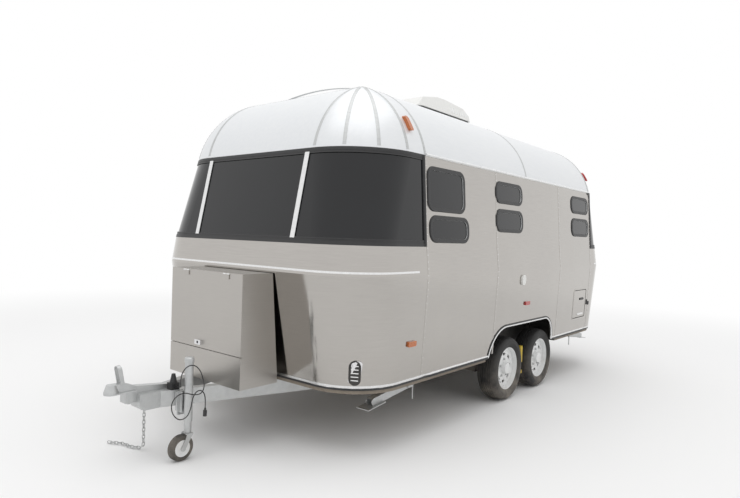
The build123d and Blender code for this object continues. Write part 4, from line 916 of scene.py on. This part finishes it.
doorFrame, doorEdge, doorRubber, hingeShape = newShape(), newShape(), newShape(), newShape()
sweep(doorFrame, framePath(-1, *door["place"], door["outerGrow"]), flatProfile(*door["strip"]), closed=True)
sweep(doorEdge, framePath(-1, *door["place"], door["innerGrow"]), flatProfile(*door["strip"]), closed=True)
sweep(doorRubber, framePath(-1, *door["windowPlace"], 0.008), barProfile(0.016, 0.008), closed=True)
radius, length = door["barrel"]
hingeX, hingeY = door["hinge"]
for z in door["hingeHeights"]:
    rim = [
        (radius * 0.7, -length / 2), (radius, -length / 2 + 0.003),
        (radius, length / 2 - 0.003), (radius * 0.7, length / 2),
    ]
    lathe(hingeShape, (hingeX, hingeY, z), (0, 0, 1), rim, 16)
    wall = -wallX(z)
    middle = (hingeX + wall) / 2
    addBlock(hingeShape, (middle, hingeY - 0.004, z), (abs(wall - hingeX) + 0.004, 0.006, length * 0.8))
    addBlock(hingeShape, (wall - 0.003, hingeY - 0.026, z), (0.005, 0.046, length * 0.8))
    for rise in (-0.02, 0.02):
        addRivet(hingeShape, Vector((wall - 0.0055, hingeY - 0.030, z + rise)), Vector((-1, 0, 0)), 0.005)
makePiece("doorFrameStrip", doorFrame, "brightTrim")
makePiece("doorEdgeStrip", doorEdge, "brightTrim", body="entrance_door")
makePiece("doorWindowRubber", doorRubber, "blackRubber", body="entrance_door")
makePiece("doorHinges", hingeShape, "brightTrim", bevel=0.0008)

hatchFrame, hatchBlack, hatchBright, wallBlack = newShape(), newShape(), newShape(), newShape()
sweep(hatchFrame, framePath(1, *hatch["place"], hatch["grow"]), flatProfile(*hatch["strip"]), closed=True)
addPad(hatchBlack, 1, *hatch["latch"], 0.0125, 0.007)
addPad(hatchBright, 1, *hatch["pull"], 0.010, 0.008)
for row in hatch["catches"]:
    addPad(wallBlack, 1, *row, 0.0095, 0.009)
makePiece("hatchFrameStrip", hatchFrame, "polishedSkinPaintedReflection")
makePiece("hatchLatch", hatchBlack, "blackRubber", body="service_hatch")
makePiece("hatchPull", hatchBright, "brightTrim", body="service_hatch")
makePiece("hatchCatches", wallBlack, "blackRubber")
print("windows, door and hatch framed")

# wheels: tread, sidewall lines, lug nuts and valve
wheels = {
    "rows": (
        ("front_left", 1, 0.402), ("front_right", -1, 0.402), ("rear_left", 1, 1.120), ("rear_right", -1, 1.120),
    ),
    "middleX": 1.013, "middleZ": 0.298, "segments": 120,
    "sidewall": [  # distance from the middle, radius
        (0.0790, 0.1962), (0.0850, 0.2040), (0.0885, 0.2120), (0.0920, 0.2160), (0.0945, 0.2280), (0.0958, 0.2300),
        (0.0966, 0.2400), (0.0970, 0.2480), (0.0958, 0.2500), (0.0958, 0.2525), (0.0966, 0.2540), (0.0950, 0.2640),
        (0.0920, 0.2700), (0.0895, 0.2745), (0.0850, 0.2800), (0.0770, 0.2860),
    ],
    "shoulder": [(0.0690, 0.2895), (0.0600, 0.2925), (0.0450, 0.2952)],
    "ribs": [((0.0380, 0.0280), 0.0045), ((0.0195, 0.0075), 0.0)],
    "grooveDepth": 0.0075, "sipe": 0.0050, "crown": 0.298,
    "nutCircle": 0.082, "nuts": 5, "nutFace": 0.0382, "nut": (0.0105, 0.015), "valve": (0.150, 0.0045, 0.020),
}


def treadRows(w):
    # half section from bead to middle, each with how far its sipes sink
    rows = [(across, radius, 0.0) for across, radius in w["sidewall"]]
    rows += [(across, radius, w["sipe"] if i else 0.002) for i, (across, radius) in enumerate(w["shoulder"])]
    fall = w["crown"] - w["shoulder"][-1][1]

    def crown(across):
        return w["crown"] - fall * (across / w["shoulder"][-1][0]) ** 2

    last = w["shoulder"][-1][0]
    for (outer, inner), _ in w["ribs"]:
        for across, edge in ((last - 0.001, last), (outer + 0.001, outer)):
            rows.append((across, crown(edge) - w["grooveDepth"], 0.0))
        rows += [(outer, crown(outer), 0.0035), (inner, crown(inner), 0.0035)]
        last = inner
    rows.append((last - 0.001, crown(last) - w["grooveDepth"], 0.0))
    return rows


def addTyre(shape, side, y, w):
    half = treadRows(w)
    rows = [(across, radius, sink) for across, radius, sink in half]
    rows += [(-across, radius, sink) for across, radius, sink in reversed(half)]
    grid = []
    for across, radius, sink in rows:
        ring = []
        for j in range(w["segments"]):
            a = 2 * math.pi * (j + (0.5 if across < 0 else 0.0)) / w["segments"]
            r = radius - (sink if j % 4 == 0 else 0.0)
            x = side * (w["middleX"] + across)
            ring.append(Vector((x, y + r * math.cos(a), w["middleZ"] + r * math.sin(a))))
        grid.append(ring)
    addGrid(shape, grid, closeRows=True, closeEnds=True)


def addNut(shape, place, axis, radius, height):
    washer = [(radius * 1.35, 0.0), (radius * 1.35, 0.002)]
    lathe(shape, place, axis, washer + [(radius, 0.0025), (radius, height * 0.8), (radius * 0.7, height)], 6)


for name, side, y in wheels["rows"]:
    tyreShape, nutShape, valveShape = newShape(), newShape(), newShape()
    addTyre(tyreShape, side, y, wheels)
    faceX = side * (wheels["middleX"] + wheels["nutFace"])
    for i in range(wheels["nuts"]):
        a = 2 * math.pi * (i + 0.25) / wheels["nuts"]
        circle = wheels["nutCircle"]
        place = (faceX, y + circle * math.cos(a), wheels["middleZ"] + circle * math.sin(a))
        addNut(nutShape, place, (side, 0, 0), *wheels["nut"])
    reach, thick, length = wheels["valve"]
    place = Vector((faceX, y - reach * 0.6, wheels["middleZ"] - reach * 0.8))
    stem = [(thick, -0.012), (thick, length * 0.6), (thick * 0.6, length * 0.65), (thick * 0.6, length)]
    lathe(valveShape, place, (side, 0, 0), stem, 12)
    body = f"wheel_{name}"
    makePiece(f"treadedTyre_{name}", tyreShape, "tyreRubber", body=body, sharp=50, replaced=(f"tyre_{name}",))
    makePiece(f"wheelNuts_{name}", nutShape, "galvanisedSteel", body=f"wheel_{name}")
    makePiece(f"wheelValve_{name}", valveShape, "blackRubber", body=f"wheel_{name}")
print("wheels dressed")

# fittings: safety chain, box hinges and lock, cooler seal and louvres
chain = {
    "route": [
        (-0.122, -2.560, 0.352), (-0.122, -2.560, 0.014), (-0.205, -2.600, 0.014),
        (-0.300, -2.612, 0.014), (-0.395, -2.668, 0.014),
    ],
    "bend": 0.034, "links": 25, "wire": 0.0031, "halfLength": 0.0159, "halfWidth": 0.0084,
    "shackle": (0.0045, 0.030, 0.044),
}


def roundedRoute(points, radius, steps=6):
    # polyline with its corners turned into arcs
    points = [Vector(p) for p in points]
    route = [points[0]]
    for before, corner, after in zip(points, points[1:], points[2:]):
        first, second = (before - corner).normalized(), (after - corner).normalized()
        angle = first.angle(second)
        cut = radius / math.tan(angle / 2)
        start, end = corner + first * cut, corner + second * cut
        centre = corner + (first + second).normalized() * radius / math.sin(angle / 2)
        for i in range(steps + 1):
            arm = (start - centre).lerp(end - centre, i / steps).normalized() * radius
            route.append(centre + arm)
    return route + [points[-1]]


def alongRoute(route, share):
    # point and heading at a share of a route's length
    lengths = [(b - a).length for a, b in zip(route, route[1:])]
    goal = share * sum(lengths)
    for (a, b), length in zip(zip(route, route[1:]), lengths):
        if goal <= length:
            return a.lerp(b, goal / length), (b - a).normalized()
        goal -= length
    return route[-1], (route[-1] - route[-2]).normalized()


chainShape = newShape()
route = roundedRoute(chain["route"], chain["bend"])
for i in range(chain["links"]):
    centre, heading = alongRoute(route, (i + 0.5) / chain["links"])
    across = Vector((1, 0, 0)) if abs(heading.z) >= 0.9 else Vector((0, 0, 1)).cross(heading).normalized()
    if i % 2:
        across = heading.cross(across).normalized()
    other = across.cross(heading).normalized()
    straight = chain["halfLength"] - chain["halfWidth"]
    ring = []
    for end in (1, -1):
        for k in range(7):
            a = math.pi * k / 6 - math.pi / 2
            bend = chain["halfWidth"]
            ahead = heading * end * (straight + bend * math.cos(a))
            ring.append(centre + ahead + other * end * bend * math.sin(a))
    tube(chainShape, ring, chain["wire"], sides=8, closed=True)
thick, wide, tall = chain["shackle"]
x, y, z = chain["route"][0]
turns = [math.pi * k / 8 for k in range(9)]
bow = [(x, y + wide / 2 * math.cos(a), z + tall * 0.2 - wide / 2 * math.sin(a)) for a in turns]
tube(chainShape, [(x, y + wide / 2, z + tall)] + bow + [(x, y - wide / 2, z + tall)], thick * 0.75, sides=10)
makePiece("safetyChain", chainShape, "galvanisedSteel", sharp=60, replaced=("safety_chain",))

boxParts = {
    "hingeXs": (-0.229, 0.246), "hingeZ": 1.208, "hingeY": -2.192, "barrel": (0.0055, 0.070),
    "lock": (-0.050, -2.209, 0.702),
}
boxBright, boxBlack = newShape(), newShape()
radius, length = boxParts["barrel"]
for x in boxParts["hingeXs"]:
    rim = [
        (radius, -length / 2), (radius, -0.012), (radius * 0.8, -0.0115),
        (radius * 0.8, 0.0115), (radius, 0.012), (radius, length / 2),
    ]
    lathe(boxBright, (x, boxParts["hingeY"], boxParts["hingeZ"]), (1, 0, 0), rim, 14)
x, y, z = boxParts["lock"]
lathe(boxBlack, (x, y + 0.003, z), (0, -1, 0), [(0.012, 0.0), (0.012, 0.002), (0.010, 0.003)], 20)
makePiece("boxHingeBarrels", boxBright, "brightTrim", body="storage_box_door")
makePiece("boxLockBarrel", boxBlack, "galvanisedSteel", body="storage_box_door")

cooler = {
    "base": (0.303, -0.060, 0.880), "z": 2.757, "seal": (0.020, 0.010),
    "louvreY": (0.50, 0.80), "louvres": 7, "louvreZ": (2.800, 2.862),
}
coolerBlack, coolerLouvres = newShape(), newShape()
half, front, rear = cooler["base"]
corner = 0.055
ring = []
for quarter, (sx, sy) in enumerate(((1, 1), (-1, 1), (-1, -1), (1, -1))):
    for i in range(6):
        a = math.radians(90 * quarter + 18 * i)
        middleY = (front + rear) / 2 + sy * ((rear - front) / 2 - corner)
        middle = Vector((sx * (half - corner), middleY, cooler["z"]))
        away = Vector((math.cos(a), math.sin(a), 0))
        ring.append((middle + away * corner, away, Vector((0, 0, 1))))
sweep(coolerBlack, ring, barProfile(*cooler["seal"]), closed=True)
for side in (-1, 1):
    for i in range(cooler["louvres"]):
        y = cooler["louvreY"][0] + (cooler["louvreY"][1] - cooler["louvreY"][0]) * i / (cooler["louvres"] - 1)
        low, high = cooler["louvreZ"]
        lean = 0.040 / 0.148
        foot = Vector((side * (0.325 - (low - 2.764) * lean), y, low))
        head = Vector((side * (0.325 - (high - 2.764) * lean), y, high - 0.010))
        out = Vector((side, 0, lean)).normalized()
        rows = [(point, out, Vector((0, 1, 0))) for point in (foot, head)]
        sweep(coolerLouvres, rows, barProfile(0.020, 0.004))
makePiece("coolerSeal", coolerBlack, "blackRubber")
makePiece("coolerLouvres", coolerLouvres, "whiteEnamel")

# light hub discs of the jockey wheel, and the oval grille on the front left corner
jockeyHub = {
    "centre": (0.205, -2.485, 0.084), "half": 0.0250,
    "rows": [(0.054, 0.0), (0.053, 0.0012), (0.030, 0.0012), (0.026, 0.003), (0.012, 0.003)],
}
hubShape = newShape()
for side in (-1, 1):
    x, y, z = jockeyHub["centre"]
    lathe(hubShape, (x + side * jockeyHub["half"], y, z), (side, 0, 0), jockeyHub["rows"], 40)
makePiece("jockeyHubDiscs", hubShape, "whiteEnamel", body="jockey_wheel")

grille = {
    "centre": (1.0175, -1.716, 0.590), "along": (0.8795, 0.4760, 0.0),
    "half": 0.038, "tall": 0.078, "lift": 0.013,
    "ring": 0.0045, "slats": (-0.048, -0.024, 0.0, 0.024, 0.048), "slat": (0.052, 0.004, 0.007),
}
grilleDark, grilleBright = newShape(), newShape()
along = Vector(grille["along"])
out = Vector((along.y, -along.x, 0))
middle = Vector(grille["centre"]) + out * grille["lift"]
outline = []
for end in (1, -1):
    for k in range(13):
        a = math.pi * k / 12
        flat = along * grille["half"] * end * math.cos(a)
        rise = end * (grille["tall"] - grille["half"] + grille["half"] * math.sin(a))
        outline.append(middle + flat + Vector((0, 0, rise)))
addGrid(grilleDark, [[p - out * 0.006 for p in outline], outline], closeRows=True)
addLid(grilleDark, len(outline), len(outline))
tube(grilleDark, outline, grille["ring"], sides=8, closed=True)
for rise in grille["slats"]:
    addBlock(grilleBright, middle + out * 0.002 + Vector((0, 0, rise)), grille["slat"], along=along)
makePiece("cornerGrilleDark", grilleDark, "blackPaint")
makePiece("cornerGrilleSlats", grilleBright, "brightTrim", bevel=0.0008)
print("fittings added")


# floor and light: a pale paper floor and one soft plain sky, white to the camera, gloss and glass
room = {
    "white": (1.0, 1.0, 1.0, 1.0),
    "paper": (0.9, 0.9, 0.9, 1.0),
    "skyLow": (0.7, 0.7, 0.7, 1.0),
    "skyHigh": (1.0, 1.0, 1.0, 1.0),
    "nearFloor": 5.0,
    "farFloor": 11.0,
    "floorReach": 45.0,
}


def makeWorld(r):
    world = bpy.data.worlds.new("room")
    bpy.context.scene.world = world
    world.use_nodes = True
    tree = world.node_tree
    tree.nodes.clear()
    link = tree.links.new
    place = addNode(tree, "ShaderNodeTexCoord")
    parts = addNode(tree, "ShaderNodeSeparateXYZ")
    link(place.outputs["Generated"], parts.inputs[0])
    sky = mixColour(tree, parts.outputs["Z"], r["skyLow"], r["skyHigh"])
    seen = addNode(tree, "ShaderNodeBackground", {"Color": r["white"], "Strength": 1.0})
    given = addNode(tree, "ShaderNodeBackground", {"Strength": 1.0})
    link(sky, given.inputs["Color"])
    path = addNode(tree, "ShaderNodeLightPath")
    shown = path.outputs["Is Camera Ray"]
    for ray in ("Is Glossy Ray", "Is Transmission Ray"):
        either = addNode(tree, "ShaderNodeMath", operation="MAXIMUM")
        link(shown, either.inputs[0])
        link(path.outputs[ray], either.inputs[1])
        shown = either.outputs[0]
    choose = addNode(tree, "ShaderNodeMixShader")
    out = addNode(tree, "ShaderNodeOutputWorld")
    link(shown, choose.inputs[0])
    link(given.outputs[0], choose.inputs[1])
    link(seen.outputs[0], choose.inputs[2])
    link(choose.outputs[0], out.inputs["Surface"])


def makeFloor(r):
    mesh = bpy.data.meshes.new("studioFloor")
    size = r["floorReach"]
    corners = [(-size, -size, 0), (size, -size, 0), (size, size, 0), (-size, size, 0)]
    mesh.from_pydata(corners, [], [(0, 1, 2, 3)])
    floor = bpy.data.objects.new("studioFloor", mesh)
    bpy.context.scene.collection.objects.link(floor)
    material = bpy.data.materials.new("studioFloor")
    material.use_nodes = True
    tree = material.node_tree
    tree.nodes.clear()
    link = tree.links.new
    place = addNode(tree, "ShaderNodeTexCoord")
    length = addNode(tree, "ShaderNodeVectorMath", operation="LENGTH")
    span = {"From Min": r["nearFloor"], "From Max": r["farFloor"]}
    far = addNode(tree, "ShaderNodeMapRange", span, interpolation_type="SMOOTHSTEP")
    paper = addNode(tree, "ShaderNodeBsdfDiffuse", {"Color": r["paper"]})
    glow = addNode(tree, "ShaderNodeEmission", {"Color": r["white"], "Strength": 1.0})
    fade = addNode(tree, "ShaderNodeMixShader")
    out = addNode(tree, "ShaderNodeOutputMaterial")
    link(place.outputs["Object"], length.inputs[0])
    link(length.outputs["Value"], far.inputs["Value"])
    link(far.outputs["Result"], fade.inputs[0])
    link(paper.outputs[0], fade.inputs[1])
    link(glow.outputs[0], fade.inputs[2])
    link(fade.outputs[0], out.inputs["Surface"])
    mesh.materials.append(material)


def addSoftbox(name, place, target, size, power, colour=(1, 1, 1)):
    data = bpy.data.lights.new(name, "AREA")
    data.shape = "RECTANGLE"
    data.size, data.size_y = size
    data.energy = power
    data.color = colour
    lamp = bpy.data.objects.new(name, data)
    aim = (Vector(target) - Vector(place)).to_track_quat("-Z", "Y")
    lamp.matrix_world = Matrix.Translation(place) @ aim.to_matrix().to_4x4()
    bpy.context.scene.collection.objects.link(lamp)


makeWorld(room)
makeFloor(room)
addSoftbox("overheadBox", (0.5, -1.0, 8.5), (0, 0.5, 0), (8, 10), 210)
print("room made")
